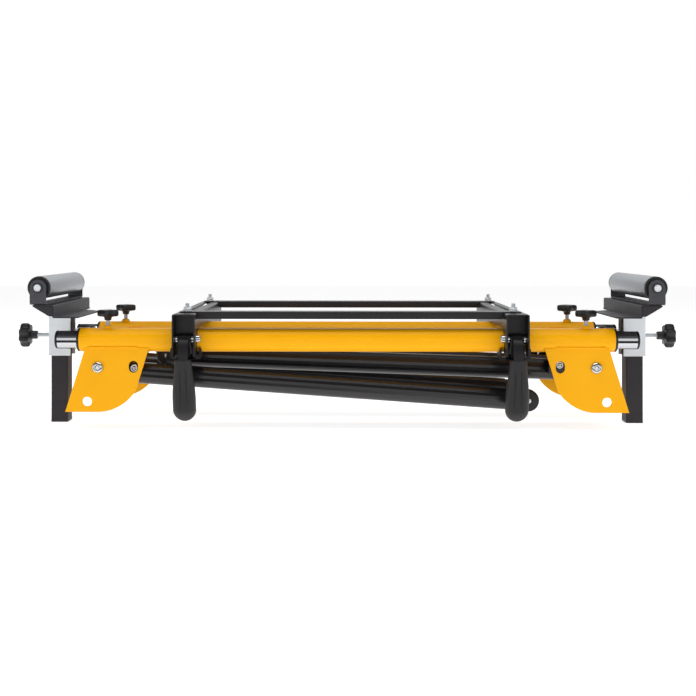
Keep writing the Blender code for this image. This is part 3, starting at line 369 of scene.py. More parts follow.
# Zinc grows in soft clouds about 12 mm across.
cloud = add(tree, "ShaderNodeTexNoise", {"Vector": place, "Scale": 80.0, "Detail": 4.0}).outputs["Fac"]
tint = add(tree, "ShaderNodeMix", {"Factor": cloud, 6: linear("D2D7DB"), 7: linear("E9ECEF")},
           data_type="RGBA")
gloss = add(tree, "ShaderNodeMapRange", {"Value": cloud, "To Min": 0.26, "To Max": 0.42})
shader.inputs["Metallic"].default_value = 0.7
tree.links.new(tint.outputs[2], shader.inputs["Base Color"])
tree.links.new(gloss.outputs[0], shader.inputs["Roughness"])


def lobed(count, depth):
    """A form with lobes: 1 - depth ((1 - cos(count t)) / 2) ^ 0.8 at angle t."""
    return lambda t: 1 - depth * ((1 - np.cos(count * t)) / 2) ** 0.8


def threaded(low, high, radius):
    """Profile of a thread drawn as rings, closed at both ends.

    Its radius at x is radius - depth pitch (1 + cos(tau x / pitch)).
    """
    x = np.linspace(low, high, max(9, round(abs(high - low) / M8_PITCH * 8)))
    ridge = radius - THREAD_DEPTH * M8_PITCH * (1 + np.cos(math.tau * x / M8_PITCH))
    return np.concatenate([[(low, 0)], np.stack([x, ridge], -1), [(high, 0)]])


for side, end, name in CORNERS:
    spot = (side * KNOB_X, BEAM_Y + end * TUBE_Y, KNOB_HUB)
    head = [(0, 0, 0), (0, 0.0056, 0), (0.0006, 0.0062, 0), (0.004, 0.0064, 0), (0.0058, 0.0082, 0.3),
            (0.0066, 0.0125, 0.8), (0.0068, 0.0165, 1), (0.0080, 0.0184, 1), (0.0100, KNOB_RADIUS, 1),
            (0.0145, KNOB_RADIUS, 1), (0.0168, 0.0184, 1), (0.0180, 0.0168, 1), (0.0184, 0.0135, 0.8),
            (0.0185, 0.0080, 0.3), (0.0185, 0, 0)]
    piece(f"{name}_knob_head", [spun(head, "Z", spot, lobed(KNOB_ARMS, KNOB_WAIST), 96)], black_nylon,
          f"{name}_tube_clamp", [f"{name}_clamp_knob"])
    screw = threaded(KNOB_TIP, KNOB_HUB + 0.0002, M8_RADIUS)
    piece(f"{name}_knob_screw", [spun(screw, "Z", (spot[0], spot[1], 0), around=24)], zinc,
          f"{name}_tube_clamp")

# Pivot bolts of the legs.
# Button-head bolts with a hexagon socket, chromium plated, and a plain hexagon nut on the leg's inner side.
# The domed head throws small hard glints.
PIVOT_X = 0.438
PIVOT_Z = 0.1095
PIVOT_SEAT = 0.0992
LEG_RADIUS = 0.019
LEG_Y = {-1: 0.076, 1: 0.0368}
NUT_GAP = 0.0003


def hexagon(t):
    """The form of a hexagon as wide across its corners as the circle: cos(30) / cos((t + 30) mod 60 - 30)."""
    sixth = math.pi / 3
    return math.cos(sixth / 2) / np.cos((t + sixth / 2) % sixth - sixth / 2)


for side, end, name in CORNERS:
    nut = LEG_Y[side] - LEG_RADIUS - NUT_GAP
    bolt = [(PIVOT_SEAT + 0.0028, 0, 1), (PIVOT_SEAT + 0.0028, 0.0034, 1), (PIVOT_SEAT + 0.0052, 0.0035, 1),
            (PIVOT_SEAT + 0.0056, 0.0044, 0), (PIVOT_SEAT + 0.0050, 0.0066, 0),
            (PIVOT_SEAT + 0.0036, 0.0088, 0), (PIVOT_SEAT + 0.0016, 0.0101, 0), (PIVOT_SEAT, 0.0103, 0),
            (PIVOT_SEAT, 0.005, 0), (nut, 0.005, 0), (nut, 0.0088, 1), (nut - 0.0060, 0.0090, 1),
            (nut - 0.0068, 0.0078, 0.4), (nut - 0.0068, 0.0046, 0), (nut - 0.0072, 0.0040, 0),
            (nut - 0.0072, 0, 0)]
    bolt = np.array(bolt) * (end, 1, 1)
    piece(f"{name}_button_bolt", [spun(bolt, "Y", (side * PIVOT_X, BEAM_Y, PIVOT_Z), hexagon)], chrome,
          "beam", [f"{name}_leg_pivot_bolt"])

# Legs.
# Round steel tube with a crimped-on hinge channel on the narrow pair, powder coated a glossy black.
# Along their length they mirror the lamps as clear grey bands. A nylon plug closes each upper end.
LEG_TILT = {-1: math.radians(3.97), 1: math.radians(2.0)}
LEG_DROP = {-1: 0.0068, 1: 0.011}
LEG_HEAD = 0.015
LEG_LENGTH = 0.762
LEG_FIT = 0.0172
LEG_PLUG_RADIUS = 0.0188


def black_coat_of(name, shades, gloss, mirror):
    """A baked powder coat with two shades that pool over 45 mm, two roughness limits and a mirror level."""
    material, tree, shader = blank(name)
    place = add(tree, "ShaderNodeTexCoord").outputs["Object"]
    pool = add(tree, "ShaderNodeTexNoise", {"Vector": place, "Scale": 22.0, "Detail": 2.0}).outputs["Fac"]
    shade = add(tree, "ShaderNodeMix", {"Factor": pool, 6: linear(shades[0]), 7: linear(shades[1])},
                data_type="RGBA")
    # Orange peel about 1.5 mm across, drawn at 4 mm.
    peel = add(tree, "ShaderNodeTexNoise", {"Vector": place, "Scale": 250.0, "Detail": 1.0}).outputs["Fac"]
    bump = add(tree, "ShaderNodeBump", {"Height": peel, "Strength": 0.07, "Distance": 0.0005})
    dull = add(tree, "ShaderNodeMapRange", {"Value": peel, "To Min": gloss[0], "To Max": gloss[1]})
    shader.inputs["Specular IOR Level"].default_value = mirror
    tree.links.new(shade.outputs[2], shader.inputs["Base Color"])
    tree.links.new(dull.outputs[0], shader.inputs["Roughness"])
    tree.links.new(bump.outputs[0], shader.inputs["Normal"])
    return material


leg_coat = black_coat_of("glossy_black_powder_coat", ("131215", "1A191C"), (0.18, 0.27), 0.55)
black_coat = black_coat_of("black_powder_coat", ("19171A", "1F1D20"), (0.30, 0.42), 0.32)
satin_coat = black_coat_of("satin_black_powder_coat", ("323034", "38363A"), (0.46, 0.56), 0.16)
grey_coat = black_coat_of("dark_grey_powder_coat", ("47464B", "4E4D52"), (0.46, 0.56), 0.16)


def on_leg(points, side):
    """Points of a leg's own frame, X towards its foot and Z up, turned by its tilt and moved to its pivot."""
    turn, way = LEG_TILT[side], -side
    x, y, z = points[..., 0] * way, points[..., 1], points[..., 2]
    tilted = [x * math.cos(turn) + z * math.sin(turn) + side * PIVOT_X, y + BEAM_Y,
              z * math.cos(turn) - x * math.sin(turn) + PIVOT_Z]
    return np.stack(tilted, -1)


for side, end, name in CORNERS:
    dress(leg_coat, f"{name}_leg")
    middle = (0, end * LEG_Y[side], -LEG_DROP[side])
    plug = eased([(0.004 - LEG_HEAD, 0), (0.004 - LEG_HEAD, LEG_FIT), (-LEG_HEAD - 0.0001, LEG_FIT),
                  (-LEG_HEAD - 0.0001, LEG_PLUG_RADIUS), (-LEG_HEAD - 0.0022, LEG_PLUG_RADIUS),
                  (-LEG_HEAD - 0.0022, 0)], [0, 0, 0, 0, 0.0014, 0])
    piece(f"{name}_leg_plug", [on_leg(spun(plug, "X", middle), side)], black_nylon, f"{name}_leg_arm")

# Feet of the legs.
# A thick disc of black rubber on edge, moulded in one with the plug that goes into the leg. Its rim is
# rounded and dull, each face is dished and has a bright pan-head screw in its middle.
FOOT_RADIUS = 0.0195
FOOT_HALF = 0.011
FOOT_CORE = 0.044

black_rubber, tree, shader = blank("moulded_black_rubber")
place = add(tree, "ShaderNodeTexCoord").outputs["Object"]
bloom = add(tree, "ShaderNodeTexNoise", {"Vector": place, "Scale": 180.0, "Detail": 4.0}).outputs["Fac"]
tint = add(tree, "ShaderNodeMix", {"Factor": bloom, 6: linear("121212"), 7: linear("1E1D1E")},
           data_type="RGBA")
bump = add(tree, "ShaderNodeBump", {"Height": bloom, "Strength": 0.1, "Distance": 0.0004})
shader.inputs["Roughness"].default_value = 0.62
tree.links.new(tint.outputs[2], shader.inputs["Base Color"])
tree.links.new(bump.outputs[0], shader.inputs["Normal"])
for side, end, name in CORNERS:
    centre = np.array((LEG_LENGTH, end * LEG_Y[side], -LEG_DROP[side]))
    half = np.array([(1, 0), (1, 0.011), (0.93, 0.0125), (0.97, 0.0165), (0.80, 0.0186), (0.45, FOOT_RADIUS)])
    rim = np.concatenate([half, half[::-1] * (-1, 1)]) * (FOOT_HALF, 1)
    core = eased([(0, 0), (0, LEG_FIT), (-FOOT_CORE, LEG_FIT), (-FOOT_CORE, 0)], [0, 0, 0.002, 0])
    piece(f"{name}_rubber_foot",
          [on_leg(spun(rim, "Y", centre), side), on_leg(spun(core, "X", centre), side)],
          black_rubber, f"{name}_leg_arm", [f"{name}_foot"])
    screw = [(FOOT_HALF - 0.001, 0), (FOOT_HALF - 0.001, 0.0042), (FOOT_HALF + 0.0006, 0.0042),
             (FOOT_HALF + 0.0013, 0.0030), (FOOT_HALF + 0.0015, 0.0014), (FOOT_HALF + 0.0006, 0)]
    screws = [on_leg(spun(np.array(screw) * (way, 1), "Y", centre, around=24), side) for way in (-1, 1)]
    piece(f"{name}_foot_screws", screws, zinc, f"{name}_leg_arm")

# Snap buttons.
# A turned steel pin with a domed tip, chromium plated, standing in the leg behind the fin's slot.
# A groove round the dome catches the light as a bright ring.
BUTTON_REACH = 0.063
LEG_SPLAY_DEG = 19.3
FIN_SLANT_DEG = 17.2
BUTTON_LEAD = math.radians(LEG_SPLAY_DEG - FIN_SLANT_DEG)
BUTTON_RADIUS = 0.0062
BUTTON_TIP = 0.0957
for side, end, name in CORNERS:
    spot = (BUTTON_REACH * math.cos(BUTTON_LEAD), 0, BUTTON_REACH * math.sin(BUTTON_LEAD))
    pin = [(-0.0175, 0), (-0.0175, BUTTON_RADIUS), (-0.0032, BUTTON_RADIUS), (-0.0026, 0.0058),
           (-0.0026, 0.0046), (-0.0020, 0.0044), (-0.0012, 0.0036), (-0.0005, 0.0022), (0, 0)]
    pin = (np.array(pin) + (BUTTON_TIP, 0)) * (end, 1)
    piece(f"{name}_button_pin", [on_leg(spun(pin, "Y", spot, around=32), side)], chrome, f"{name}_button",
          [f"{name}_snap_button"])

# Post holders.
# 3 mm steel sheet folded to a U and welded to a cross arm, then bright zinc plated and left unpainted.
# The plating is a cool light grey with soft clouds.
dress(zinc, "left_post_holder", "right_post_holder")

# Square posts.
# Square steel tube with small corner radii, powder coated a satin black. Each slides in its holder.
# A thin cap of black nylon, pressed into the tube's lower end, stands a hair proud of it all round.
POST_X = 0.5265
POST_HALF = (0.0155, 0.0175)
CAP_PROUD = 0.0001
CAP_TOP = 0.0034
dress(satin_coat, "left_post", "right_post")
for side, side_name in SIDES:
    half = np.array(POST_HALF) + CAP_PROUD
    square = np.array([(-1, -1), (1, -1), (1, 1), (-1, 1)])
    levels = np.array([0.0, 0.0006, CAP_TOP - 0.0004, CAP_TOP])
    inset = np.array([0.0006, 0, 0, CAP_PROUD])
    rings = eased(square * (half - inset[:, None, None]), 0.003) + (side * POST_X, BEAM_Y)
    cap = np.concatenate([rings, np.broadcast_to(levels[:, None, None], (*rings.shape[:2], 1))], -1)
    piece(f"{side_name}_post_cap", [cap], black_nylon, f"{side_name}_post_lift")

# Side knobs, which clamp the posts.
# Seven fat lobes of black nylon round a deep boss, moulded in one piece on the head of a screw.
# The screw is zinc plated, with an M8 thread, and goes in through the holder's outer face.
SIDE_HUB = 0.5714
SIDE_TIP = 0.5423
SIDE_Z = 0.1585
SIDE_LOBES = 7
SIDE_WAIST = 0.2
for side, side_name in SIDES:
    head = [(0, 0, 0), (0, 0.0066, 0), (0.0008, 0.0075, 0), (0.0106, 0.0077, 0), (0.0118, 0.0100, 0.3),
            (0.0126, 0.0150, 0.9), (0.0132, 0.0195, 1), (0.0148, 0.0216, 1), (0.0168, 0.0224, 1),
            (0.0246, 0.0225, 1), (0.0281, 0.0216, 1), (0.0301, 0.0196, 1), (0.0312, 0.0160, 0.9),
            (0.0316, 0.0110, 0.4), (0.0316, 0.0062, 0), (0.0306, 0.0052, 0), (0.0306, 0, 0)]
    head = (np.array(head) + (SIDE_HUB, 0, 0)) * (side, 1, 1)
    spot = (0, BEAM_Y, SIDE_Z)
    piece(f"{side_name}_side_knob", [spun(head, "X", spot, lobed(SIDE_LOBES, SIDE_WAIST), 140)], black_nylon,
          f"{side_name}_post_clamp", [f"{side_name}_post_knob"])
    screw = threaded(SIDE_TIP, SIDE_HUB + 0.0005, M8_RADIUS) * (side, 1)
    piece(f"{side_name}_side_screw", [spun(screw, "X", spot, around=24)], zinc, f"{side_name}_post_clamp")

# Trays on top of the posts.
# 2.5 mm sheet folded twice to a Z, with a gusset welded under each end, powder coated a satin black.
# The folds are rounded, and the long flat faces mirror the room as plain grey.
TRAY_HALF = 0.1355
TRAY_PLATE = (0.2188, 0.2213)
TRAY_WALL = (0.50625, 0.50875)
TRAY_EDGE = 0.543
TRAY_LIP = 0.46375
TRAY_LIP_END = 0.034
TRAY_LOW = 0.1987
GUSSET_LOW = 0.2018
SHEET = 0.0025


def drawn(outline, axis, places):
    """An outline carried along an axis, with one row at each place. X takes (y, z), Y (x, z) and Z (x, y)."""
    places = np.asarray(places, float)
    flat = np.broadcast_to(outline, (len(places), *np.shape(outline)[-2:]))
    along = np.broadcast_to(places[:, None], flat.shape[:2])
    one, two = flat[..., 0], flat[..., 1]
    return np.stack({"X": (along, one, two), "Y": (one, along, two), "Z": (one, two, along)}[axis], -1)


for side, side_name in SIDES:
    back = TRAY_LIP_END + TRAY_WALL[0] - TRAY_LIP
    along = np.array([-TRAY_HALF, TRAY_LIP_END, back - 0.002, back, TRAY_HALF])
    lip = np.clip(TRAY_LIP + along - TRAY_LIP_END, TRAY_LIP, TRAY_WALL[0] - 0.0001)
    section = np.array([(TRAY_WALL[0], TRAY_PLATE[1]), (TRAY_EDGE, TRAY_PLATE[1]), (TRAY_EDGE, TRAY_PLATE[0]),
                        (TRAY_WALL[1], TRAY_PLATE[0]), (TRAY_WALL[1], TRAY_LOW), (0, TRAY_LOW),
                        (0, TRAY_LOW + SHEET), (TRAY_WALL[0], TRAY_LOW + SHEET)])
    section = np.repeat(section[None], len(along), 0)
    section[:, 5:7, 0] = lip[:, None]
    sheet = eased(section, [0.0030, 0.0006, 0.0006, 0.0010, 0.0030, 0.0006, 0.0006, 0.0010]) * (side, 1)
    parts = [drawn(sheet, "Y", BEAM_Y + along)]
    web = [(TRAY_WALL[1] - 0.0005, TRAY_PLATE[0] + 0.0005), (TRAY_EDGE - 0.001, TRAY_PLATE[0] + 0.0005),
           (TRAY_EDGE - 0.001, TRAY_PLATE[0] - 0.0006), (TRAY_WALL[1] + 0.006, GUSSET_LOW),
           (TRAY_WALL[1] - 0.0005, GUSSET_LOW)]
    for end in (-1, 1):
        faces = sorted((BEAM_Y + end * TRAY_HALF, BEAM_Y + end * (TRAY_HALF - SHEET)))
        parts.append(drawn(eased(web, [0, 0.0004, 0.0004, 0.002, 0]) * (side, 1), "Y", faces))
    piece(f"{side_name}_folded_tray", parts, satin_coat, f"{side_name}_post_lift",
          [f"{side_name}_tray"], bevel=0.0003)

# Yokes and their axles.
# A strip of sheet with an ear folded up at each end, round at the top, powder coated a very dark grey.
# The axle is a zinc-plated bolt with a bright round head at each ear, ringed by a black washer that is partly
# painted shade.
YOKE_X = 0.534
YOKE_HALF_WIDTH = 0.014
YOKE_END = 0.135
YOKE_LOW = 0.2216
ROLLER_Z = 0.251
YOKE_FOLD = 0.003


def strap(path, half_width, thickness, x):
    """A flat strip that follows a path of (y, z) points.

    At each point it has edges at x +- half width, moved half the thickness to either side of the path along
    its normal (-dz, dy).
    """
    path = np.asarray(path, float)
    half_width = np.broadcast_to(half_width, len(path))
    run = np.gradient(path, axis=0)
    length = np.linalg.norm(run, axis=1, keepdims=True)
    normal = np.stack([-run[:, 1], run[:, 0]], -1) / length * thickness / 2
    wide = np.array([-1, 1, 1, -1]) * half_width[:, None] + x
    deep = path[:, None] + normal[:, None] * np.array([-1, -1, 1, 1])[:, None]
    return np.concatenate([wide[..., None], deep], -1)


def closed(loop):
    """A loop of points with its first point once more at the end."""
    return np.concatenate([loop, loop[:1]])


for side, side_name in SIDES:
    rise = np.linspace(ROLLER_Z + YOKE_HALF_WIDTH, ROLLER_Z - YOKE_HALF_WIDTH, 30)
    bend = np.linspace(0, math.pi / 2, 9)
    middle = YOKE_END - SHEET / 2
    fold_y = middle - YOKE_FOLD + YOKE_FOLD * np.cos(bend)
    fold_z = YOKE_LOW + SHEET / 2 + YOKE_FOLD - YOKE_FOLD * np.sin(bend)
    down = np.concatenate([np.stack([np.full_like(rise, middle), rise], -1), np.stack([fold_y, fold_z], -1)])
    path = np.concatenate([down, down[::-1] * (-1, 1)]) + (BEAM_Y, 0)
    over = np.clip(path[:, 1] - ROLLER_Z, 0, YOKE_HALF_WIDTH)
    width = np.sqrt(YOKE_HALF_WIDTH ** 2 - over ** 2) + 0.0002
    piece(f"{side_name}_folded_yoke", [strap(path, width, SHEET, side * YOKE_X)], grey_coat,
          f"{side_name}_post_lift", [f"{side_name}_roller_yoke"], bevel=0.0003)
    spot = (side * YOKE_X, BEAM_Y, ROLLER_Z)
    head = [(0, 0.0038), (0.1350, 0.0038), (0.1350, 0.0064), (0.1385, 0.0064), (0.1396, 0.0056),
            (0.1400, 0.0034), (0.1394, 0.0030), (0.1394, 0)]
    axle = np.concatenate([np.array(head)[::-1] * (-1, 1), head])
    piece(f"{side_name}_axle", [spun(axle, "Y", spot, around=32)], zinc, f"{side_name}_post_lift")
    # The black washer is as wide as the dark ring round each head, so its dark ring is partly painted shade.
    ring = eased([(0.1351, 0.0045), (0.1351, 0.0086), (0.1364, 0.0086), (0.1364, 0.0045)], 0.0003)
    rings = [spun(closed(ring) * (end, 1), "Y", spot) for end in (-1, 1)]
    piece(f"{side_name}_axle_washers_and_shade", rings, black_nylon, f"{side_name}_post_lift")

# Rollers.
# A steel tube with a dull grey plated skin, pressed on to stepped end caps of black nylon.
# The skin is drawn lengthwise, so it carries faint streaks along the roller.
ROLLER_RADIUS = 0.020
ROLLER_BORE = 0.0172
TUBE_END = 0.1240
CAP_FIT = 0.0171
CAP_BORE = 0.0044
CAP_SHOULDER = 0.1285
CAP_END = 0.1315

roller_steel, tree, shader = blank("dull_grey_plated_steel")
place = add(tree, "ShaderNodeTexCoord").outputs["Object"]
streak = add(tree, "ShaderNodeMapping", {"Vector": place, "Scale": (400.0, 14.0, 400.0)}).outputs[0]
lines = add(tree, "ShaderNodeTexNoise", {"Vector": streak, "Scale": 1.0, "Detail": 3.0}).outputs["Fac"]
tint = add(tree, "ShaderNodeMix", {"Factor": lines, 6: linear("7E8388"), 7: linear("8F9499")},
           data_type="RGBA")
gloss = add(tree, "ShaderNodeMapRange", {"Value": lines, "To Min": 0.30, "To Max": 0.42})
shader.inputs["Metallic"].default_value = 0.75
tree.links.new(tint.outputs[2], shader.inputs["Base Color"])
tree.links.new(gloss.outputs[0], shader.inputs["Roughness"])
for side, side_name in SIDES:
    spot = (side * YOKE_X, BEAM_Y, ROLLER_Z)
    shell = eased([(-TUBE_END, ROLLER_BORE), (-TUBE_END, ROLLER_RADIUS), (TUBE_END, ROLLER_RADIUS),
                   (TUBE_END, ROLLER_BORE)], [0, 0.0006, 0.0006, 0])
    piece(f"{side_name}_roller_tube", [spun(closed(shell), "Y", spot, around=96)], roller_steel,
          f"{side_name}_roller_drum", [f"{side_name}_roller"])
    caps = []
    for end in (-1, 1):
        cap = eased([(TUBE_END - 0.008, CAP_BORE), (TUBE_END - 0.008, CAP_FIT), (TUBE_END + 0.0001, CAP_FIT),
                     (TUBE_END + 0.0001, ROLLER_RADIUS), (CAP_SHOULDER, ROLLER_RADIUS),
                     (CAP_SHOULDER, 0.0168), (CAP_SHOULDER - 0.0012, 0.0162),
                     (CAP_SHOULDER - 0.0012, 0.0150), (CAP_END, 0.0146), (CAP_END, CAP_BORE)],
                    [0, 0, 0, 0.0002, 0.0014, 0.0004, 0.0002, 0.0002, 0.0008, 0])
        caps.append(spun(closed(cap) * (end, 1), "Y", spot, around=96))
    piece(f"{side_name}_roller_caps", caps, black_nylon, f"{side_name}_roller_drum")

# Saddle brackets.
# 2.5 mm sheet folded to an upside-down channel, notched over both main tubes, slotted along its top, with
# a thin web in front of the front tube, powder coated black. Drawn as halves that meet along the top.
BRACKET_X = {-1: -0.2817, 1: 0.2954}
BRACKET_HALF = 0.020
BRACKET_TOP = 0.206
RAIL = (-0.064, 0.2355)
SLOT = (-0.0945, 0.266)
SLOT_HALF = 0.005
NOTCH = 0.0213
WEB_LOW = 0.152
WEB_SHEET = 0.002

# The walls' lower edge from front to rear, as stretches of places along Y and the heights there.
sweep = -np.cos(np.linspace(0, math.pi, 33)) * NOTCH
arch = TUBE_Z + np.sqrt(np.maximum(NOTCH ** 2 - sweep ** 2, 0))
stretches = [([-0.136, -TUBE_Y - NOTCH], [0.133, 0.133]), (sweep[:17] - TUBE_Y, arch[:17]),
             ([-TUBE_Y + 1e-5, RAIL[0], RAIL[0] + 1e-5, TUBE_Y - 1e-5], [0.179] * 4),
             (sweep[16:] + TUBE_Y, arch[16:]), ([TUBE_Y + NOTCH, 0.1185], [0.140, 0.140]),
             ([0.1345, RAIL[1], RAIL[1] + 1e-5, 0.285], [0.160] * 4)]
along = np.concatenate([np.asarray(y, float) for y, _ in stretches])
hem = np.concatenate([np.asarray(z, float) for _, z in stretches])
order = np.argsort(along, kind="stable")
along, hem = along[order], hem[order]
past = np.maximum(np.maximum(SLOT[0] - along, along - SLOT[1]), 0)
gap = np.sqrt(np.maximum(SLOT_HALF ** 2 - past ** 2, 0)) + 0.00001
top = BRACKET_TOP - 0.0003 * ((along < RAIL[0]) | (along > RAIL[1]))
for side, side_name in SIDES:
    halves = []
    for hand in (-1, 1):
        wall, skin = np.full_like(along, BRACKET_HALF), np.full_like(along, BRACKET_HALF - SHEET)
        across = np.stack([gap, wall, wall, skin, skin, gap], -1) * hand + BRACKET_X[side]
        height = np.stack([top, top, hem, hem, top - SHEET, top - SHEET], -1)
        loop = eased(np.stack([across, height], -1), [0.0003, 0.0036, 0.0003, 0.0003, 0.0012, 0.0003])
        rows = np.broadcast_to(along[:, None] + BEAM_Y, loop.shape[:2])
        halves.append(np.stack([loop[..., 0], rows, loop[..., 1]], -1))
    reach = BRACKET_HALF - SHEET + 0.0002
    web = [(-reach, WEB_LOW), (reach, WEB_LOW), (reach, BRACKET_TOP - SHEET), (-reach, BRACKET_TOP - SHEET)]
    faces = BEAM_Y - TUBE_Y - NOTCH - np.array((WEB_SHEET, 0))
    halves.append(drawn(np.array(web) + (BRACKET_X[side], 0), "Y", faces))
    piece(f"{side_name}_folded_bracket", halves, black_coat, "saw_mount",
          [f"{side_name}_saddle_bracket"], sharp=30)

# Lever bolts and their bushes.
# A chromium plated bolt through both walls of the bracket, its domed head on the inner side, with a plated
# sleeve on each side of the lever that shows as a bright bar inside the channel.
LEVER_Y = -0.1175
LEVER_Z = 0.162
for side, side_name in SIDES:
    spot = (BRACKET_X[side], BEAM_Y + LEVER_Y, LEVER_Z)
    bolt = [(-0.0226, 0), (-0.0226, 0.0046), (-0.0222, 0.0052), (-0.0201, 0.0052), (-0.0201, 0.0038),
            (0.0201, 0.0038), (0.0201, 0.0064), (0.0252, 0.0062), (0.0274, 0.0049), (0.0286, 0.0028),
            (0.0289, 0)]
    piece(f"{side_name}_lever_bolt", [spun(np.array(bolt) * (-side, 1), "X", spot, around=32)], chrome,
          "saw_mount")
    sleeves = []
    for hand in (-1, 1):
        sleeve = eased([(0.0120, 0.0039), (0.0120, 0.0066), (0.0174, 0.0066), (0.0174, 0.0039)], 0.0004)
        sleeves.append(spun(closed(sleeve) * (hand, 1), "X", spot, around=32))
    piece(f"{side_name}_lever_sleeves", sleeves, chrome, "saw_mount")

# Cross bars of the saw mount.
# Shallow upside-down channels of 2 mm sheet between the brackets, powder coated black. Each end is a flat
# tab that laps on to a bracket and is bolted through its slot.
BAR_HALF = 0.0175
BAR_SHEET = 0.002
BAR_HEIGHT = 0.013
BAR_TAB = 0.0115
BAR_GAP = 0.0003
BAR_Y = {"front": -0.0825, "rear": 0.254}
bar_top = BRACKET_TOP + BAR_SHEET
bar_ends = (BRACKET_X[-1] + BRACKET_HALF + BAR_GAP, BRACKET_X[1] - BRACKET_HALF - BAR_GAP)
bar_x = np.array([BRACKET_X[-1] - BAR_TAB, bar_ends[0] - 1e-5, bar_ends[0], bar_ends[1], bar_ends[1] + 1e-5,
                  BRACKET_X[1] + BAR_TAB])
drop = np.where((bar_x >= bar_ends[0]) & (bar_x <= bar_ends[1]), BAR_HEIGHT, BAR_SHEET)
for end_name, bar_y in BAR_Y.items():
    wide, thin = BAR_HALF, BAR_HALF - BAR_SHEET
    across = np.array([-wide, -wide, wide, wide, thin, thin, -thin, -thin]) + BEAM_Y + bar_y
    across = np.broadcast_to(across, (len(bar_x), 8))
    low, high, inner = bar_top - drop, np.full_like(drop, bar_top), np.full_like(drop, bar_top - BAR_SHEET)
    height = np.stack([low, high, high, low, low, inner, inner, low], -1)
    bend = np.where(drop > BAR_SHEET, 0.0030, 0.0006)[:, None]
    ease = np.concatenate([bend * (0.1, 1, 1, 0.1), bend * (0.1, 0.3, 0.3, 0.1)], -1)
    loop = eased(np.stack([across, height], -1), np.minimum(ease, np.abs(drop[:, None]) * 0.45))
    rows = np.broadcast_to(bar_x[:, None], loop.shape[:2])
    bar = np.concatenate([rows[..., None], loop], -1)
    piece(f"{end_name}_folded_bar", [bar], black_coat, "saw_mount", [f"{end_name}_cross_bar"],
          sharp=30)
    nuts, studs = [], []
    for side in (-1, 1):
        spot = (BRACKET_X[side], BEAM_Y + bar_y, bar_top)
        nut = [(0.0014, 0.0039, 0), (0.0014, 0.0072, 1), (0.0020, 0.0076, 1), (0.0064, 0.0076, 1),
               (0.0072, 0.0066, 0.5), (0.0074, 0.0052, 0), (0.0070, 0.0039, 0)]
        washer = eased([(0.0, 0.0042), (0.0, 0.0084), (0.0014, 0.0084), (0.0014, 0.0042)], 0.0003)
        under = [(-0.0047, 0.0030, 0), (-0.0047, 0.0068, 1), (-0.0053, 0.0075, 1), (-0.0088, 0.0075, 1),
                 (-0.0096, 0.0066, 0.5), (-0.0098, 0.0050, 0), (-0.0098, 0.0030, 0)]
        for loop in (nut, under):
            nuts.append(spun(closed(loop), "Z", spot, hexagon))
        nuts.append(spun(closed(washer), "Z", spot))
        studs.append(spun(threaded(-0.0097, 0.0140, M8_RADIUS), "Z", spot, around=24))
    piece(f"{end_name}_bar_nuts", nuts, zinc, "saw_mount", bevel=0.0002)
    piece(f"{end_name}_bar_studs", studs, zinc, "saw_mount")

# Clamp levers.
# A thick strap of steel, rolled round the bolt at its top and curved down into the grip.
# It is powder coated black, and the rolled eye turns on the bolt between the two sleeves.
LEVER_HALF = 0.00825
LEVER_SHEET = 0.005
EYE_RADIUS = 0.0085
EYE_BORE = 0.0043
GRIP_Y = -0.141
GRIP_TOP = 0.127
for side, side_name in SIDES:
    t = np.linspace(0, 1, 24)[:, None]
    start, pull, stop = np.array([(LEVER_Y - 0.0055, LEVER_Z + 0.001), (-0.1375, 0.154), (GRIP_Y, GRIP_TOP)])
    curve = (1 - t) ** 2 * start + 2 * t * (1 - t) * pull + t ** 2 * stop
    path = np.concatenate([curve, [(GRIP_Y, 0.115), (GRIP_Y, 0.095)]]) + (BEAM_Y, 0)
    spot = (BRACKET_X[side], BEAM_Y + LEVER_Y, LEVER_Z)
    eye = eased([(-LEVER_HALF, EYE_BORE), (-LEVER_HALF, EYE_RADIUS), (LEVER_HALF, EYE_RADIUS),
                 (LEVER_HALF, EYE_BORE)], 0.0005)
    parts = [strap(path, LEVER_HALF, LEVER_SHEET, BRACKET_X[side]), spun(closed(eye), "X", spot)]
    piece(f"{side_name}_rolled_strap", parts, black_coat, f"{side_name}_lever",
          [f"{side_name}_clamp_lever"], bevel=0.0005)

# Lever grips.
# Black polypropylene moulded over the strap: narrow at the top, swelling to a round end, with two grooves
# down the front and back and a flat rib between them.
GRIP_BOTTOM = 0.0225
GRIP_WIDE = 0.020
GRIP_DEEP = 0.0118
GRIP_NECK = 0.015
GRIP_NECK_DEEP = 0.0085
GRIP_SWELL = 0.066
GROOVE_X = 0.0052
GROOVE_DEPTH = 0.0016
GROOVE_WIDTH = 0.0012
GROOVE_SPAN = (0.040, 0.110)
GRIP_LEAN = 0.004
grip_plastic, tree, shader = blank("moulded_black_polypropylene")
place = add(tree, "ShaderNodeTexCoord").outputs["Object"]
# Leathered mould grain about 0.5 mm, drawn at 1.5 mm.
grain = add(tree, "ShaderNodeTexNoise", {"Vector": place, "Scale": 660.0, "Detail": 2.0}).outputs["Fac"]
tint = add(tree, "ShaderNodeMix", {"Factor": grain, 6: linear("1C1B1E"), 7: linear("232225")},
           data_type="RGBA")
bump = add(tree, "ShaderNodeBump", {"Height": grain, "Strength": 0.16, "Distance": 0.0003})
shader.inputs["Roughness"].default_value = 0.46
tree.links.new(tint.outputs[2], shader.inputs["Base Color"])
tree.links.new(bump.outputs[0], shader.inputs["Normal"])


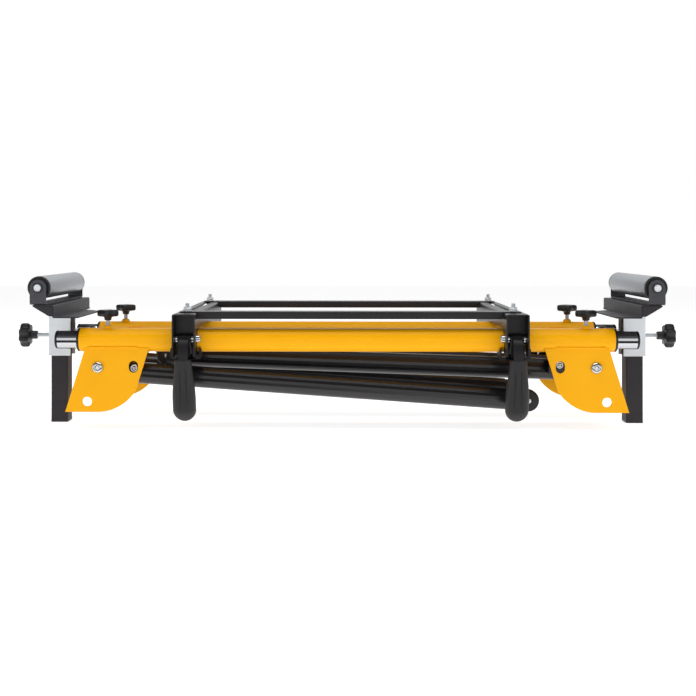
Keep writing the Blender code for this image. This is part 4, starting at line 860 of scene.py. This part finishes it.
def grip(x, lean):
    """A lofted grip. Down it, w and d swell by a smooth step and close as a half ellipse at the bottom.

    Round it the section is |x / w| ^ 2.5 + |y / d| ^ 2.5 = 1, and near x = +-groove it is drawn in by
    depth exp(-((|x| - groove) / width)^2) over the middle of the grip's length.
    The whole leans by lean t along X, where t goes from 0 at the top to 1 at the bottom.
    """
    z = GRIP_TOP - (GRIP_TOP - GRIP_BOTTOM) * np.sin(np.linspace(0, math.pi / 2, 72)) ** 1.1
    swell = np.clip((GRIP_TOP - z) / GRIP_SWELL, 0, 1)
    swell = swell ** 2 * (3 - 2 * swell)
    close = np.sqrt(np.clip(1 - (np.clip(GRIP_BOTTOM + GRIP_WIDE - z, 0, None) / GRIP_WIDE) ** 2, 0, 1))
    shoulder = np.sqrt(np.clip((GRIP_TOP - z) / 0.003, 0, 1)) * 0.12 + 0.88
    width = (GRIP_NECK + (GRIP_WIDE - GRIP_NECK) * swell) * close * shoulder
    depth = (GRIP_NECK_DEEP + (GRIP_DEEP - GRIP_NECK_DEEP) * swell) * close ** 0.8 * shoulder
    angle = np.linspace(0, math.tau, 120, endpoint=False)
    cosine, sine = np.cos(angle), np.sin(angle)
    across = width[:, None] * np.sign(cosine) * np.abs(cosine) ** 0.8
    deep = depth[:, None] * np.sign(sine) * np.abs(sine) ** 0.8
    reach = np.clip(np.minimum(GROOVE_SPAN[1] - z, z - GROOVE_SPAN[0]) / 0.006, 0, 1)[:, None]
    groove = GROOVE_DEPTH * np.exp(-((np.abs(across) - GROOVE_X) / GROOVE_WIDTH) ** 2) * reach
    deep = deep - np.sign(sine) * groove * np.clip(np.abs(sine) * 3, 0, 1)
    rows = np.broadcast_to(z[:, None], across.shape)
    shift = lean * (GRIP_TOP - rows) / (GRIP_TOP - GRIP_BOTTOM)
    return np.stack([across + x + shift, deep + BEAM_Y + GRIP_Y, rows], -1)


for side, side_name in SIDES:
    piece(f"{side_name}_moulded_grip", [grip(BRACKET_X[side], -side * GRIP_LEAN)], grip_plastic,
          f"{side_name}_lever", [f"{side_name}_lever_grip"])

# Hook jaws.
# 3.5 mm steel folded to a cradle under the front main tube and hung on the lever's bolt, black coated.
# A lip of 2.5 mm sheet, welded across its front edge, closes the bracket's mouth behind the lever.
LIP_HALF = 0.0165
LIP_Y = (-0.107, -0.1045)
LIP_Z = (0.1253, 0.151)
dress(black_coat, "left_jaw", "right_jaw")
for side, side_name in SIDES:
    lip = np.array([(-LIP_HALF, LIP_Z[0]), (LIP_HALF, LIP_Z[0]), (LIP_HALF, LIP_Z[1]), (-LIP_HALF, LIP_Z[1])])
    piece(f"{side_name}_jaw_lip", [drawn(lip + (BRACKET_X[side], 0), "Y", BEAM_Y + np.array(LIP_Y))],
          black_coat, f"{side_name}_clamp_jaw", bevel=0.0004)
